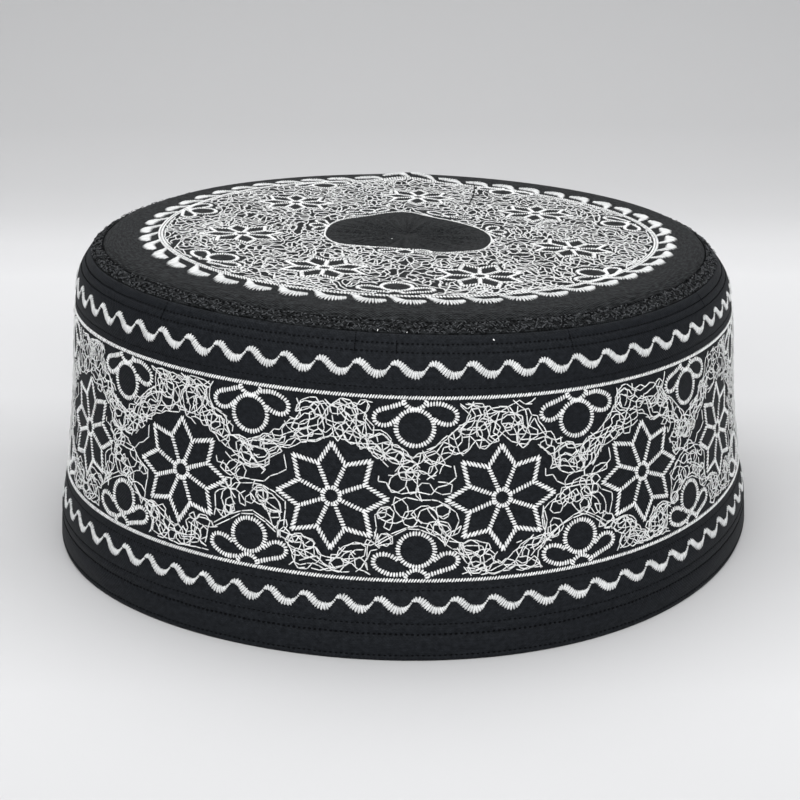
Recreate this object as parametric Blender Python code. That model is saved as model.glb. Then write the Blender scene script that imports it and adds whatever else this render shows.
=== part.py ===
"""A stiff embroidered prayer cap: an upright cloth band under a flat, gathered crown.

The cap stands on its hem at z = 0, with its front towards -Y. Everything is in metres.
A place on the cap's wall is named by three values: its bearing round the cap, its length up
the outer cloth from the hem, and its depth in from the outer face.
"""

import math
from bisect import bisect_right
from typing import NamedTuple

import bmesh
import bpy
from mathutils import Vector

MM = 0.001
SEGMENTS = 104
BAND_WALL = 2.4 * MM
CROWN_WALL = 2.0 * MM
SEAM_GAP = 0.3 * MM
SEAM_ROUNDING = 0.5 * MM
SEAM_ROUNDING_LENGTH = 0.9 * MM
HEM_ROUNDING = 0.35 * MM
HEM_ROUNDING_HEIGHT = 0.8 * MM
WALL_ROUNDS = 8
SHOULDER_ROUNDS = 4
LINING_ROUNDS = 7
CREST_ROUNDS = 3
GATHER_ROUNDS = 5
GATHERS = 26
GATHER_RADIUS = 20 * MM
GATHER_HEIGHT = 0.4 * MM
SMOOTH_ANGLE = math.radians(40)


class Ring(NamedTuple):
    """One round of the outer cloth: its height above the hem and its mean radius."""

    height: float
    radius: float


class Lean(NamedTuple):
    """How much the cloth at one height rises for each metre towards +X and +Y."""

    height: float
    rise_x: float
    rise_y: float


class Cloth(NamedTuple):
    """The look of one cloth: linear colour and roughness."""

    name: str
    colour: tuple
    roughness: float


SHOULDER_RING = Ring(69.0 * MM, 85.60 * MM)
SEAM_RING = Ring(73.85 * MM, 82.22 * MM)
CREST_RING = Ring(77.4 * MM, 70.50 * MM)
FLAT_RING = Ring(77.1 * MM, 64.00 * MM)
OUTER_CLOTH = (
    Ring(0.0 * MM, 95.03 * MM),
    Ring(10.0 * MM, 94.05 * MM),
    Ring(19.0 * MM, 91.79 * MM),
    Ring(24.0 * MM, 90.99 * MM),
    Ring(42.0 * MM, 88.73 * MM),
    Ring(62.0 * MM, 86.91 * MM),
    SHOULDER_RING,
    Ring(73.0 * MM, 83.12 * MM),
    SEAM_RING,
    Ring(75.4 * MM, 80.33 * MM),
    Ring(76.9 * MM, 77.04 * MM),
    Ring(77.35 * MM, 73.60 * MM),
    CREST_RING,
    Ring(77.3 * MM, 67.50 * MM),
    FLAT_RING,
    Ring(77.0 * MM, 48.00 * MM),
    Ring(77.0 * MM, 30.00 * MM),
    Ring(76.9 * MM, 18.00 * MM),
    Ring(76.6 * MM, 8.00 * MM),
    Ring(76.3 * MM, 0.0),
)
LEANS = (
    Lean(0.0 * MM, 0.0, 0.0),
    Lean(18.0 * MM, -0.0110, 0.0019),
    Lean(60.0 * MM, -0.0235, 0.0264),
    Lean(77.0 * MM, -0.0365, 0.0312),
)
OVAL_SHARE = -0.0174
SQUARE_SHARE = 0.0098

BLACK_BAND = Cloth("black_band_cloth", (0.017, 0.019, 0.023), 0.8)
BLACK_CROWN = Cloth("black_crown_cloth", (0.017, 0.019, 0.023), 0.75)


def clear_objects():
    """Remove every object in the open scene."""
    for thing in list(bpy.data.objects):
        bpy.data.objects.remove(thing, do_unlink=True)


def catmull_rom(before, start, end, after, share):
    """Return the point at a share of the way from start to end on a smooth curve."""
    pull_in = (end - before) / 2
    pull_out = (after - start) / 2
    return (
        start * (2 * share**3 - 3 * share**2 + 1)
        + pull_in * (share**3 - 2 * share**2 + share)
        + end * (3 * share**2 - 2 * share**3)
        + pull_out * (share**3 - share**2)
    )


class Profile:
    """The smooth outer line of the cap from its hem to the middle of its crown."""

    STEPS = 12

    def __init__(self, rings):
        knots = [Vector((ring.radius, ring.height)) for ring in rings]
        ends = [2 * knots[0] - knots[1], *knots, Vector((-knots[-2].x, knots[-2].y))]
        self.points = []
        for i in range(1, len(ends) - 2):
            for step in range(self.STEPS):
                self.points.append(catmull_rom(*ends[i - 1 : i + 3], step / self.STEPS))
        self.points.append(knots[-1])
        self.lengths = [0.0]
        for a, b in zip(self.points, self.points[1:]):
            self.lengths.append(self.lengths[-1] + (b - a).length)

    def length_at(self, ring):
        """Return the length along the line of the point nearest to a ring of the table."""
        target = Vector((ring.radius, ring.height))
        gaps = [(point - target).length for point in self.points]
        return self.lengths[gaps.index(min(gaps))]

    def place(self, length, depth):
        """Return (radius, height) at a length up the cloth and a depth in from its face."""
        last = len(self.points) - 2
        i = min(max(bisect_right(self.lengths, length) - 1, 0), last)
        share = (length - self.lengths[i]) / (self.lengths[i + 1] - self.lengths[i])
        point = self.points[i].lerp(self.points[i + 1], share)
        ahead = self.points[min(i + 2, last + 1)] - self.points[i]
        behind = self.points[i + 1] - self.points[max(i - 1, 0)]
        along = behind.lerp(ahead, share).normalized()
        inward = Vector((-along.y, along.x))
        placed = point + inward * depth
        return max(placed.x, 0.0), max(placed.y, 0.0)


PROFILE = Profile(OUTER_CLOTH)
SEAM_LENGTH = PROFILE.length_at(SEAM_RING)
FULL_LENGTH = PROFILE.lengths[-1]


def plan_share(bearing):
    """Return the share of the mean radius at a bearing, for the cap's slightly squared oval."""
    return 1 + OVAL_SHARE * math.sin(2 * bearing) + SQUARE_SHARE * math.sin(4 * bearing)


def rises(height):
    """Return how fast the cloth at a height rises towards +X and +Y."""
    low, high = LEANS[-2:]
    for a, b in zip(LEANS, LEANS[1:]):
        if height <= b.height:
            low, high = a, b
            break
    share = (height - low.height) / (high.height - low.height)
    return (
        low.rise_x + share * (high.rise_x - low.rise_x),
        low.rise_y + share * (high.rise_y - low.rise_y),
    )


def gather(radius, bearing):
    """Return how far a pleat lifts the middle of the crown at a radius and bearing."""
    if radius >= GATHER_RADIUS:
        return 0.0
    swell = math.sin(math.pi * radius / GATHER_RADIUS)
    return GATHER_HEIGHT * swell * math.cos(GATHERS * bearing)


def on_cap(radius, height, bearing):
    """Return the point of the cap at a mean radius, an upright height and a bearing."""
    true_radius = radius * plan_share(bearing)
    x = true_radius * math.sin(bearing)
    y = -true_radius * math.cos(bearing)
    rise_x, rise_y = rises(height)
    z = height + rise_x * x + rise_y * y + gather(radius, bearing)
    return Vector((x, y, z))


def ring_of(mesh, length, depth):
    """Add one round of vertices to the mesh, or a single one on the cap's axis."""
    radius, height = PROFILE.place(length, depth)
    if length == 0.0:
        height = 0.0
    if length == FULL_LENGTH:
        return [mesh.verts.new(on_cap(0.0, height, 0.0))]
    bearings = (2 * math.pi * i / SEGMENTS for i in range(SEGMENTS))
    return [mesh.verts.new(on_cap(radius, height, bearing)) for bearing in bearings]


def join_rings(mesh, first, second):
    """Fill between two rounds, or close a round onto a single middle vertex."""
    if len(first) == 1 and len(second) == 1:
        return
    for i in range(SEGMENTS):
        j = (i + 1) % SEGMENTS
        if len(second) == 1:
            mesh.faces.new((first[i], first[j], second[0]))
        elif len(first) == 1:
            mesh.faces.new((first[0], second[j], second[i]))
        else:
            mesh.faces.new((first[i], first[j], second[j], second[i]))


def cloth_material(cloth):
    """Return a Principled material of the cloth's colour and roughness."""
    material = bpy.data.materials.new(cloth.name)
    material.use_nodes = True
    shader = material.node_tree.nodes["Principled BSDF"]
    shader.inputs["Base Color"].default_value = (*cloth.colour, 1.0)
    shader.inputs["Roughness"].default_value = cloth.roughness
    shader.inputs["Metallic"].default_value = 0.0
    material.diffuse_color = (*cloth.colour, 1.0)
    return material


def cloth_object(name, section, closed, cloth):
    """Sweep a section of (length, depth) places round the cap as one closed cloth solid.

    A closed section comes back to its first round. An open one starts and ends on the axis.
    """
    mesh = bmesh.new()
    rounds = [ring_of(mesh, length, depth) for length, depth in section]
    following = [*rounds[1:], rounds[0]] if closed else rounds[1:]
    for first, second in zip(rounds, following):
        join_rings(mesh, first, second)
    bmesh.ops.recalc_face_normals(mesh, faces=mesh.faces)
    data = bpy.data.meshes.new(name)
    mesh.to_mesh(data)
    mesh.free()
    data.materials.append(cloth_material(cloth))
    data.shade_smooth()
    data.set_sharp_from_angle(angle=SMOOTH_ANGLE)
    thing = bpy.data.objects.new(name, data)
    bpy.context.scene.collection.objects.link(thing)
    return thing


def spaced(start, end, count):
    """Return count values evenly from start to end, both included."""
    return [start + (end - start) * i / (count - 1) for i in range(count)]


def side_band():
    """The upright wall, from the flat hem to its edge in the seam under the shoulder."""
    edge = SEAM_LENGTH - SEAM_GAP / 2
    shoulder_start = PROFILE.length_at(SHOULDER_RING)
    outside = spaced(HEM_ROUNDING_HEIGHT, shoulder_start, WALL_ROUNDS)
    outside += spaced(shoulder_start, edge - SEAM_ROUNDING_LENGTH, SHOULDER_ROUNDS)[1:]
    inside = spaced(edge, shoulder_start, SHOULDER_ROUNDS)
    inside += spaced(shoulder_start, HEM_ROUNDING_HEIGHT, LINING_ROUNDS)[1:]
    section = [(0.0, BAND_WALL - HEM_ROUNDING), (0.0, HEM_ROUNDING)]
    section += [(length, 0.0) for length in outside]
    section += [(edge, SEAM_ROUNDING)]
    section += [(length, BAND_WALL) for length in inside]
    return cloth_object("side_band", section, True, BLACK_BAND)


def crown_top():
    """The rounded shoulder and the flat top, gathered in low pleats at its middle."""
    edge = SEAM_LENGTH + SEAM_GAP / 2
    crest = PROFILE.length_at(CREST_RING)
    flat_start = PROFILE.length_at(FLAT_RING)
    gather_start = FULL_LENGTH - GATHER_RADIUS
    outside = spaced(edge + SEAM_ROUNDING_LENGTH, crest, SHOULDER_ROUNDS)
    outside += spaced(crest, flat_start, CREST_ROUNDS)[1:]
    outside += [(flat_start + gather_start) / 2]
    outside += spaced(gather_start, FULL_LENGTH, GATHER_ROUNDS)
    underside = spaced(edge, crest, SHOULDER_ROUNDS)
    underside += [flat_start]
    underside += spaced(gather_start, FULL_LENGTH, GATHER_ROUNDS)
    section = [(length, 0.0) for length in reversed(outside)]
    section += [(edge, SEAM_ROUNDING)]
    section += [(length, CROWN_WALL) for length in underside]
    return cloth_object("crown_top", section, False, BLACK_CROWN)


def main():
    """Build both pieces of the cap in an emptied scene."""
    clear_objects()
    side_band()
    crown_top()


main()
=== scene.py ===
"""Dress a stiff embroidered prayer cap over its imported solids.

The cap stands on its hem at z = 0 with its front towards -Y. Its cloth follows the same
rings and leans as the solids. Pattern sizes are in millimetres and meshes in metres.
A place on the wall is an arc round the cap, measured at WALL_RADIUS, and a length up the
outer cloth from the hem. A place on the crown is its x and y seen from above.
"""

import logging
import math
from dataclasses import dataclass, field, replace
from enum import Enum
from functools import partial
from typing import Callable, NamedTuple, Protocol

import bpy
import numpy as np
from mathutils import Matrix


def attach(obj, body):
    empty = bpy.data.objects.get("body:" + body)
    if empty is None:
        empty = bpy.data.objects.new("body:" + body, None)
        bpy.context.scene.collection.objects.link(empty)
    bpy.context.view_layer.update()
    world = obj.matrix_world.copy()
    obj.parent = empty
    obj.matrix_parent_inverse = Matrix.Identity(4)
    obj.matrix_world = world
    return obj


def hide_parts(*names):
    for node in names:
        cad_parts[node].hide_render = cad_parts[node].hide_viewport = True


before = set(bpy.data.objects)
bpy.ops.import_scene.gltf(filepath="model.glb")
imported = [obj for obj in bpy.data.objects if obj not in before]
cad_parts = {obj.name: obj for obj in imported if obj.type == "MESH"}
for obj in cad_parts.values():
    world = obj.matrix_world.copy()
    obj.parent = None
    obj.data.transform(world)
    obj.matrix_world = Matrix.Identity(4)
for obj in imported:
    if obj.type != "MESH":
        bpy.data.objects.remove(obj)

MM = 0.001
CENTIMETRE = 10.0
SEED = 20
WALL_RADIUS = 90.0
LINE_STEPS = 12
FULL_TURN = 2 * math.pi
TINY = 1e-6
LOG = logging.getLogger("prayer_cap")


class Ring(NamedTuple):
    """One round of the outer cloth: height, mean radius, and its rise for each mm of x and y."""

    height: float
    radius: float
    rise_x: float
    rise_y: float


SEAM_RING = Ring(73.85, 82.22, -0.0341, 0.0303)
OUTER_CLOTH = (
    Ring(0.0, 95.03, 0.0, 0.0),
    Ring(10.0, 94.05, -0.0061, 0.0011),
    Ring(19.0, 91.79, -0.0113, 0.0025),
    Ring(24.0, 90.99, -0.0128, 0.0054),
    Ring(42.0, 88.73, -0.0181, 0.0159),
    Ring(62.0, 86.91, -0.0250, 0.0270),
    Ring(69.0, 85.60, -0.0304, 0.0289),
    Ring(73.0, 83.12, -0.0334, 0.0301),
    SEAM_RING,
    Ring(75.4, 80.33, -0.0330, 0.0330),
    Ring(77.05, 77.04, -0.0300, 0.0370),
    Ring(77.25, 73.60, -0.0300, 0.0370),
    Ring(77.25, 70.50, -0.0320, 0.0354),
    Ring(77.2, 67.50, -0.0345, 0.0330),
    Ring(77.15, 64.00, -0.0365, 0.0312),
    Ring(77.0, 48.00, -0.0365, 0.0312),
    Ring(77.0, 30.00, -0.0365, 0.0312),
    Ring(76.9, 18.00, -0.0365, 0.0312),
    Ring(76.6, 8.00, -0.0365, 0.0312),
    Ring(76.3, 0.0, -0.0365, 0.0312),
)
OVAL_SHARE = -0.0174
SQUARE_SHARE = 0.0098


class Fold(NamedTuple):
    """A low swelling of the crown: its bearing in degrees, radius, half sizes in mm and height."""

    bearing: float
    radius: float
    half_width: float
    half_depth: float
    height: float


FOLDS = (
    Fold(179.9, 69.0, 9.0, 5.0, 1.9),
    Fold(-158.0, 75.0, 40.0, 11.0, -0.5),
    Fold(-60.0, 60.0, 16.0, 12.0, 0.4),
    Fold(40.0, 40.0, 14.0, 14.0, 0.35),
    Fold(-15.0, 38.0, 12.0, 12.0, -0.3),
)


def smooth_line(points: np.ndarray, steps: int, closed: bool = False) -> np.ndarray:
    """Draw a smooth curve through points.

    Args:
        points: The points to pass through, one to a row.
        steps: How many pieces each stretch between two points is cut into.
        closed: Whether the curve comes back to its first point.

    Returns:
        The points of the curve; a closed curve doesn't repeat its first point.
    """
    if closed:
        ends = np.vstack([points[-1:], points, points[:2]])
    else:
        ends = np.vstack([2 * points[:1] - points[1:2], points, 2 * points[-1:] - points[-2:-1]])
    share = (np.arange(steps) / steps)[:, None]
    cube, square = share**3, share**2
    pieces = [
        b * (2 * cube - 3 * square + 1)
        + (c - a) / 2 * (cube - 2 * square + share)
        + c * (3 * square - 2 * cube)
        + (d - b) / 2 * (cube - square)
        for a, b, c, d in zip(ends, ends[1:], ends[2:], ends[3:])
    ]
    if not closed:
        pieces.append(points[-1:])
    return np.vstack(pieces)


def walk_evenly(path: np.ndarray, pitch: float, closed: bool = False) -> tuple[np.ndarray, np.ndarray]:
    """Place stations along a path at an even pitch.

    Args:
        path: The path's points, one to a row.
        pitch: The wanted distance between stations.
        closed: Whether the path comes back to its first point.

    Returns:
        The stations' places, and the unit direction of the path at each.
    """
    if closed:
        path = np.vstack([path, path[:1]])
    steps = np.linalg.norm(np.diff(path, axis=0), axis=1)
    lengths = np.concatenate([[0.0], np.cumsum(steps)])
    count = max(2, int(round(lengths[-1] / pitch)))
    at = (np.arange(count) + 0.5) / count * lengths[-1]
    places = np.stack([np.interp(at, lengths, path[:, k]) for k in (0, 1)], axis=1)
    which = np.clip(np.searchsorted(lengths, at, side="right") - 1, 0, len(steps) - 1)
    direction = np.diff(path, axis=0)[which] / steps[which][:, None]
    return places, direction


def compass(turn: np.ndarray) -> np.ndarray:
    """Return the unit vector at each angle anticlockwise from the +x direction."""
    return np.stack([np.cos(turn), np.sin(turn)], axis=-1)


def left_of(way: np.ndarray) -> np.ndarray:
    """Return each direction turned a quarter of the way round anticlockwise."""
    return np.stack([-way[:, 1], way[:, 0]], axis=1)


def level_line(girth: float, height: float, steps: int = 360) -> np.ndarray:
    """Return a line right round a face at one height."""
    return np.column_stack([np.linspace(0, girth, steps + 1), np.full(steps + 1, height)])


def circle(radius: float, count: int = 36) -> np.ndarray:
    """Return count points round a circle of this radius about the origin."""
    return radius * compass(FULL_TURN * np.arange(count) / count)


def polar(radius: float, degrees: float) -> np.ndarray:
    """Return the point at a radius and an angle anticlockwise from the +x direction."""
    return radius * compass(np.radians(degrees))


class CapForm:
    """The shape of the cap's outer face, in millimetres."""

    BEARING_STEPS = 1440
    FOLDS_START = 68.0
    FOLDS_BLEND = 6.0

    def __init__(self, rings: tuple[Ring, ...], folds: tuple[Fold, ...] = ()) -> None:
        """Work out the outer line, its outward direction and the arc table.

        Args:
            rings: The rounds of the outer cloth from the hem to the crown's middle.
            folds: The low swellings of the crown.
        """
        knots = np.array([(ring.radius, ring.height, ring.rise_x, ring.rise_y) for ring in rings])
        past_axis = knots[-2:-1] * (-1, 1, 1, 1)
        line = smooth_line(np.vstack([knots, past_axis]), LINE_STEPS)
        line = line[: (len(knots) - 1) * LINE_STEPS + 1]
        self.radii, self.heights, self.rises_x, self.rises_y = line.T
        steps = np.hypot(np.diff(self.radii), np.diff(self.heights))
        self.lengths = np.concatenate([[0.0], np.cumsum(steps)])
        along_r = np.gradient(self.radii, self.lengths)
        along_z = np.gradient(self.heights, self.lengths)
        size = np.hypot(along_r, along_z)
        self.out_r, self.out_z = along_z / size, -along_r / size
        self.folds = folds
        self.bearings = np.linspace(-math.pi, math.pi, self.BEARING_STEPS + 1)
        plan = self.plan_share(self.bearings)[:, None] * compass(self.bearings)
        run = np.concatenate([[0.0], np.cumsum(np.linalg.norm(np.diff(plan, axis=0), axis=1))])
        self.turns = (run - run[self.BEARING_STEPS // 2]) / run[-1]

    @property
    def full_length(self) -> float:
        """The length of the outer line from the hem to the crown's middle."""
        return float(self.lengths[-1])

    def length_at(self, ring: Ring) -> float:
        """Return the length up the outer line at the point nearest to a ring."""
        gaps = np.hypot(self.radii - ring.radius, self.heights - ring.height)
        return float(self.lengths[np.argmin(gaps)])

    def length_at_radius(self, radius: np.ndarray) -> np.ndarray:
        """Return the length up the outer line at each mean radius."""
        return np.interp(radius, self.radii[::-1], self.lengths[::-1])

    def plan_share(self, bearing: np.ndarray) -> np.ndarray:
        """Return the share of the mean radius at each bearing of the slightly squared oval."""
        return 1 + OVAL_SHARE * np.sin(2 * bearing) + SQUARE_SHARE * np.sin(4 * bearing)

    def bearing_at(self, turn: np.ndarray) -> np.ndarray:
        """Return the bearing at each share of the way round from the front."""
        wrapped = (np.asarray(turn) + 0.5) % 1.0 - 0.5
        return np.interp(wrapped, self.turns, self.bearings)

    def turn_at(self, bearing: np.ndarray) -> np.ndarray:
        """Return the share of the way round from the front at each bearing."""
        return np.interp(bearing, self.bearings, self.turns)

    def section(self, length: np.ndarray, lift: np.ndarray) -> tuple[np.ndarray, np.ndarray]:
        """Find places in the upright section of the cap.

        Args:
            length: Lengths up the outer line.
            lift: How far outside the outer line each place is.

        Returns:
            The mean radius and the height of each place.
        """
        radius = np.interp(length, self.lengths, self.radii)
        height = np.interp(length, self.lengths, self.heights)
        radius = radius + lift * np.interp(length, self.lengths, self.out_r)
        height = height + lift * np.interp(length, self.lengths, self.out_z)
        return np.maximum(radius, 0.0), height

    def swelling(self, x: np.ndarray, y: np.ndarray) -> np.ndarray:
        """Return how far the folds lift the crown at each place seen from above.

        Args:
            x: How far right of the middle each place is.
            y: How far behind the middle each place is.

        Returns:
            The lift at each place.
        """
        rise = np.zeros_like(x)
        for fold in self.folds:
            turn = math.radians(fold.bearing)
            out = x * math.sin(turn) - y * math.cos(turn) - fold.radius
            aside = x * math.cos(turn) + y * math.sin(turn)
            rise += fold.height * np.exp(-((out / fold.half_depth) ** 2) - (aside / fold.half_width) ** 2)
        return rise

    def place(self, bearing: np.ndarray, length: np.ndarray, lift: np.ndarray) -> np.ndarray:
        """Place points on the cap.

        Args:
            bearing: Bearings round the cap from the front, in radians.
            length: Lengths up the outer line.
            lift: How far outside the outer face each point is.

        Returns:
            The points, one to a row, in metres.
        """
        radius, height = self.section(length, lift)
        true_radius = radius * self.plan_share(bearing)
        x = true_radius * np.sin(bearing)
        y = -true_radius * np.cos(bearing)
        rise_x = np.interp(length, self.lengths, self.rises_x)
        rise_y = np.interp(length, self.lengths, self.rises_y)
        on_crown = np.clip((height - self.FOLDS_START) / self.FOLDS_BLEND, 0.0, 1.0)
        z = height + rise_x * x + rise_y * y + on_crown * self.swelling(x, y)
        return np.stack([x, y, z], axis=1) * MM


class Face(Protocol):
    """A face of the cap that threads can be laid on."""

    def place(self, points: np.ndarray, lift: np.ndarray) -> np.ndarray:
        """Return the places in metres of points of the pattern, raised by lift."""


@dataclass(frozen=True)
class RoundFace:
    """The wall unrolled round the cap: arc at a radius, and length up the cloth."""

    form: CapForm
    radius: float

    @property
    def girth(self) -> float:
        """The arc of one full turn."""
        return FULL_TURN * self.radius

    def place(self, points: np.ndarray, lift: np.ndarray) -> np.ndarray:
        """Return the places in metres of (arc, length) points, raised by lift."""
        bearing = self.form.bearing_at(points[:, 0] / self.girth)
        return self.form.place(bearing, points[:, 1], lift)


@dataclass(frozen=True)
class RimFace:
    """The crown along its border line: arc at the line, and distance outwards from it."""

    form: CapForm
    radius: float
    three_sided: float

    @property
    def girth(self) -> float:
        """The arc of one full turn."""
        return FULL_TURN * self.radius

    def place(self, points: np.ndarray, lift: np.ndarray) -> np.ndarray:
        """Return the places in metres of (arc, distance out) points, raised by lift.

        Args:
            points: Points of the pattern, one to a row.
            lift: How high each point lies over the cloth.

        Returns:
            The places in metres.
        """
        bearing = points[:, 0] / self.radius
        radius = self.radius * (1 - self.three_sided * np.sin(3 * bearing)) + points[:, 1]
        return self.form.place(bearing, self.form.length_at_radius(radius), lift)


@dataclass(frozen=True)
class CrownFace:
    """The crown seen from above."""

    form: CapForm

    def place(self, points: np.ndarray, lift: np.ndarray) -> np.ndarray:
        """Return the places in metres of (x, y) points, raised by lift.

        Args:
            points: Points of the pattern, one to a row.
            lift: How high each point lies over the cloth.

        Returns:
            The places in metres.
        """
        bearing = np.arctan2(points[:, 0], -points[:, 1])
        radius = np.hypot(points[:, 0], points[:, 1]) / self.form.plan_share(bearing)
        return self.form.place(bearing, self.form.length_at_radius(radius), lift)


@dataclass(frozen=True)
class Placement:
    """Where a motif sits in its face's pattern, and how it is turned."""

    x: float
    y: float
    degrees: float = 0.0
    scale: float = 1.0

    def apply(self, points: np.ndarray) -> np.ndarray:
        """Return the motif's points in the face's pattern.

        Args:
            points: Points in the motif's own frame.

        Returns:
            The points in the face's pattern.
        """
        turn = math.radians(self.degrees)
        rotation = np.array([[math.cos(turn), math.sin(turn)], [-math.sin(turn), math.cos(turn)]])
        return self.scale * points @ rotation + (self.x, self.y)

    def undo(self, points: np.ndarray) -> np.ndarray:
        """Return points of the face's pattern in the motif's own frame.

        Args:
            points: Points in the face's pattern.

        Returns:
            The points in the motif's own frame.
        """
        turn = math.radians(self.degrees)
        rotation = np.array([[math.cos(turn), -math.sin(turn)], [math.sin(turn), math.cos(turn)]])
        return (points - (self.x, self.y)) @ rotation / self.scale


class ThreadKind(Enum):
    """How finely a stitch is modelled: the sides of its thread and its inner rounds."""

    SATIN = (4, (0.24, 0.76))
    FINE = (3, (0.12, 0.88))

    @property
    def sides(self) -> int:
        """The number of sides of the thread."""
        return self.value[0]

    @property
    def rounds(self) -> tuple[float, ...]:
        """The shares of the stitch's length where its inner rounds lie."""
        return self.value[1]


class SatinLine(NamedTuple):
    """A satin line's width, its stitches' pitch and slant along it, and their thread and height."""

    width: float
    pitch: float
    slant: float
    thread: float
    height: float = 0.26


@dataclass
class Stitchery:
    """Stitches on one face, gathered here and made into one mesh."""

    face: Face
    kind: ThreadKind
    rng: np.random.Generator
    rows: list[np.ndarray] = field(default_factory=list)

    TIP_SINK = 0.12
    CREST_FALL = 0.25
    THREAD_SPREAD = (0.88, 1.12)
    LINE_SPREAD = (0.9, 1.1)
    PITCH_DRIFT = 0.06
    SATIN_LIFTS = (0.02, 0.1)

    def lay(self, starts: np.ndarray, ends: np.ndarray, width: float, height: float,
            lift: np.ndarray | float, tones: tuple[float, float] = (0.6, 1.0)) -> None:
        """Lay straight stitches on the face.

        Args:
            starts: Where each stitch comes out of the cloth.
            ends: Where each stitch goes back in.
            width: The thread's width.
            height: The thread's thickness.
            lift: How high the underside of each stitch, or of all, lies over the cloth.
            tones: The darkest and lightest tone of a stitch, from 0 to 1.
        """
        count = len(starts)
        spread = self.rng.uniform(*self.THREAD_SPREAD, count)
        tone = self.rng.uniform(*tones, count)
        sizes = width * spread, np.full(count, height), np.broadcast_to(lift, count), tone
        self.rows.append(np.column_stack([starts, ends, *sizes]))

    def satin(self, path: np.ndarray, line: SatinLine, closed: bool = False) -> None:
        """Cover a line with slanted stitches from edge to edge.

        Args:
            path: The middle of the line.
            line: The line's sizes.
            closed: Whether the line comes back to its start.
        """
        places, along = walk_evenly(path, line.pitch, closed)
        count = len(places)
        wide = line.width * self.rng.uniform(*self.LINE_SPREAD, (count, 1)) / 2
        drift = self.rng.uniform(-self.PITCH_DRIFT, self.PITCH_DRIFT, (count, 1)) * line.pitch * along
        reach = wide * left_of(along) + line.slant / 2 * along
        lift = self.rng.uniform(*self.SATIN_LIFTS, count)
        self.lay(places - reach + drift, places + reach + drift, line.thread, line.height, lift)

    def build(self, name: str, material: bpy.types.Material) -> bpy.types.Object:
        """Make one mesh object of all the stitches laid.

        Args:
            name: The object's name.
            material: The thread's material.

        Returns:
            The new object, with a tone for each stitch and a UV map along each thread.
        """
        rows = np.vstack(self.rows)
        starts, ends = rows[:, 0:2], rows[:, 2:4]
        width, height, lift, tone = rows[:, 4:].T
        along = ends - starts
        length = np.maximum(np.linalg.norm(along, axis=1), TINY)
        side = left_of(along) / length[:, None]
        sides, rounds = self.kind.sides, self.kind.rounds
        angles = FULL_TURN * np.arange(sides) / sides
        points = [starts]
        lifts = [lift - self.TIP_SINK]
        for share in rounds:
            middle = starts + share * along
            crest = 1.0 - self.CREST_FALL * abs(2 * share - 1)
            for angle in angles:
                points.append(middle + side * (width * math.cos(angle) / 2)[:, None])
                lifts.append(lift + height * crest * (0.5 + 0.5 * math.sin(angle)))
        points.append(ends)
        lifts.append(lift - self.TIP_SINK)
        per_stitch = len(points)
        flat = np.stack(points, axis=1).reshape(-1, 2)
        verts = self.face.place(flat, np.stack(lifts, axis=1).reshape(-1))
        thing = mesh_object(name, verts, stitch_faces(sides, len(rounds)), len(rows), material)
        attribute = thing.data.attributes.new("tone", "FLOAT", "POINT")
        attribute.data.foreach_set("value", np.repeat(tone, per_stitch).astype(np.float32))
        shares = [0.0, *np.repeat(rounds, sides), 1.0]
        around = [0.0, *np.tile(np.arange(sides) / sides, len(rounds)), 0.0]
        u = (np.array(shares)[None, :] * length[:, None]).reshape(-1)
        at_vertices = np.stack([u, np.tile(around, len(rows))], axis=1)
        set_uv(thing, "UVMap", at_vertices[read(thing.data.loops, "vertex_index", np.int32)])
        return thing


def stitch_faces(sides: int, rounds: int) -> list[tuple[int, ...]]:
    """List the faces of one closed stitch.

    Args:
        sides: The sides of the thread.
        rounds: The inner rounds of the stitch.

    Returns:
        The faces, each a tuple of vertex numbers, turned outwards.
    """
    faces = []
    last = 1 + sides * rounds
    end = last - sides
    for k in range(sides):
        after = (k + 1) % sides
        faces.append((0, 1 + after, 1 + k))
        for low in range(1, end, sides):
            high = low + sides
            faces.append((low + k, low + after, high + after, high + k))
        faces.append((end + k, end + after, last))
    return faces


def mesh_object(name: str, verts: np.ndarray, faces: list[tuple[int, ...]], copies: int,
                material: bpy.types.Material) -> bpy.types.Object:
    """Make one smooth-shaded mesh object of many copies of a small shape.

    Args:
        name: The object's name.
        verts: The vertices of all copies in turn, one to a row, in metres.
        faces: The faces of one copy as tuples of vertex numbers.
        copies: How many copies there are.
        material: The object's material.

    Returns:
        The new object, linked to the scene.
    """
    corners = np.concatenate([np.array(face, np.int32) for face in faces])
    sizes = np.array([len(face) for face in faces], np.int32)
    starts = np.concatenate([[0], np.cumsum(sizes)[:-1]])
    per_copy = len(verts) // copies
    number = np.arange(copies, dtype=np.int32)[:, None]
    data = bpy.data.meshes.new(name)
    data.vertices.add(len(verts))
    data.vertices.foreach_set("co", verts.astype(np.float32).ravel())
    data.loops.add(len(corners) * copies)
    data.loops.foreach_set("vertex_index", (corners + number * per_copy).astype(np.int32).ravel())
    data.polygons.add(len(faces) * copies)
    data.polygons.foreach_set("loop_start", (starts + number * len(corners)).astype(np.int32).ravel())
    data.update(calc_edges=True)
    data.validate()
    data.materials.append(material)
    data.shade_smooth()
    thing = bpy.data.objects.new(name, data)
    bpy.context.scene.collection.objects.link(thing)
    return thing


def read(items: bpy.types.bpy_prop_collection, name: str, kind: type, wide: int = 1) -> np.ndarray:
    """Return one property of every item of a mesh, wide numbers for each.

    Args:
        items: The mesh's vertices, corners or faces.
        name: The property's name.
        kind: The type of its numbers.
        wide: How many numbers each item has.

    Returns:
        The numbers in the order of the items.
    """
    values = np.empty(len(items) * wide, kind)
    items.foreach_get(name, values)
    return values


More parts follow.
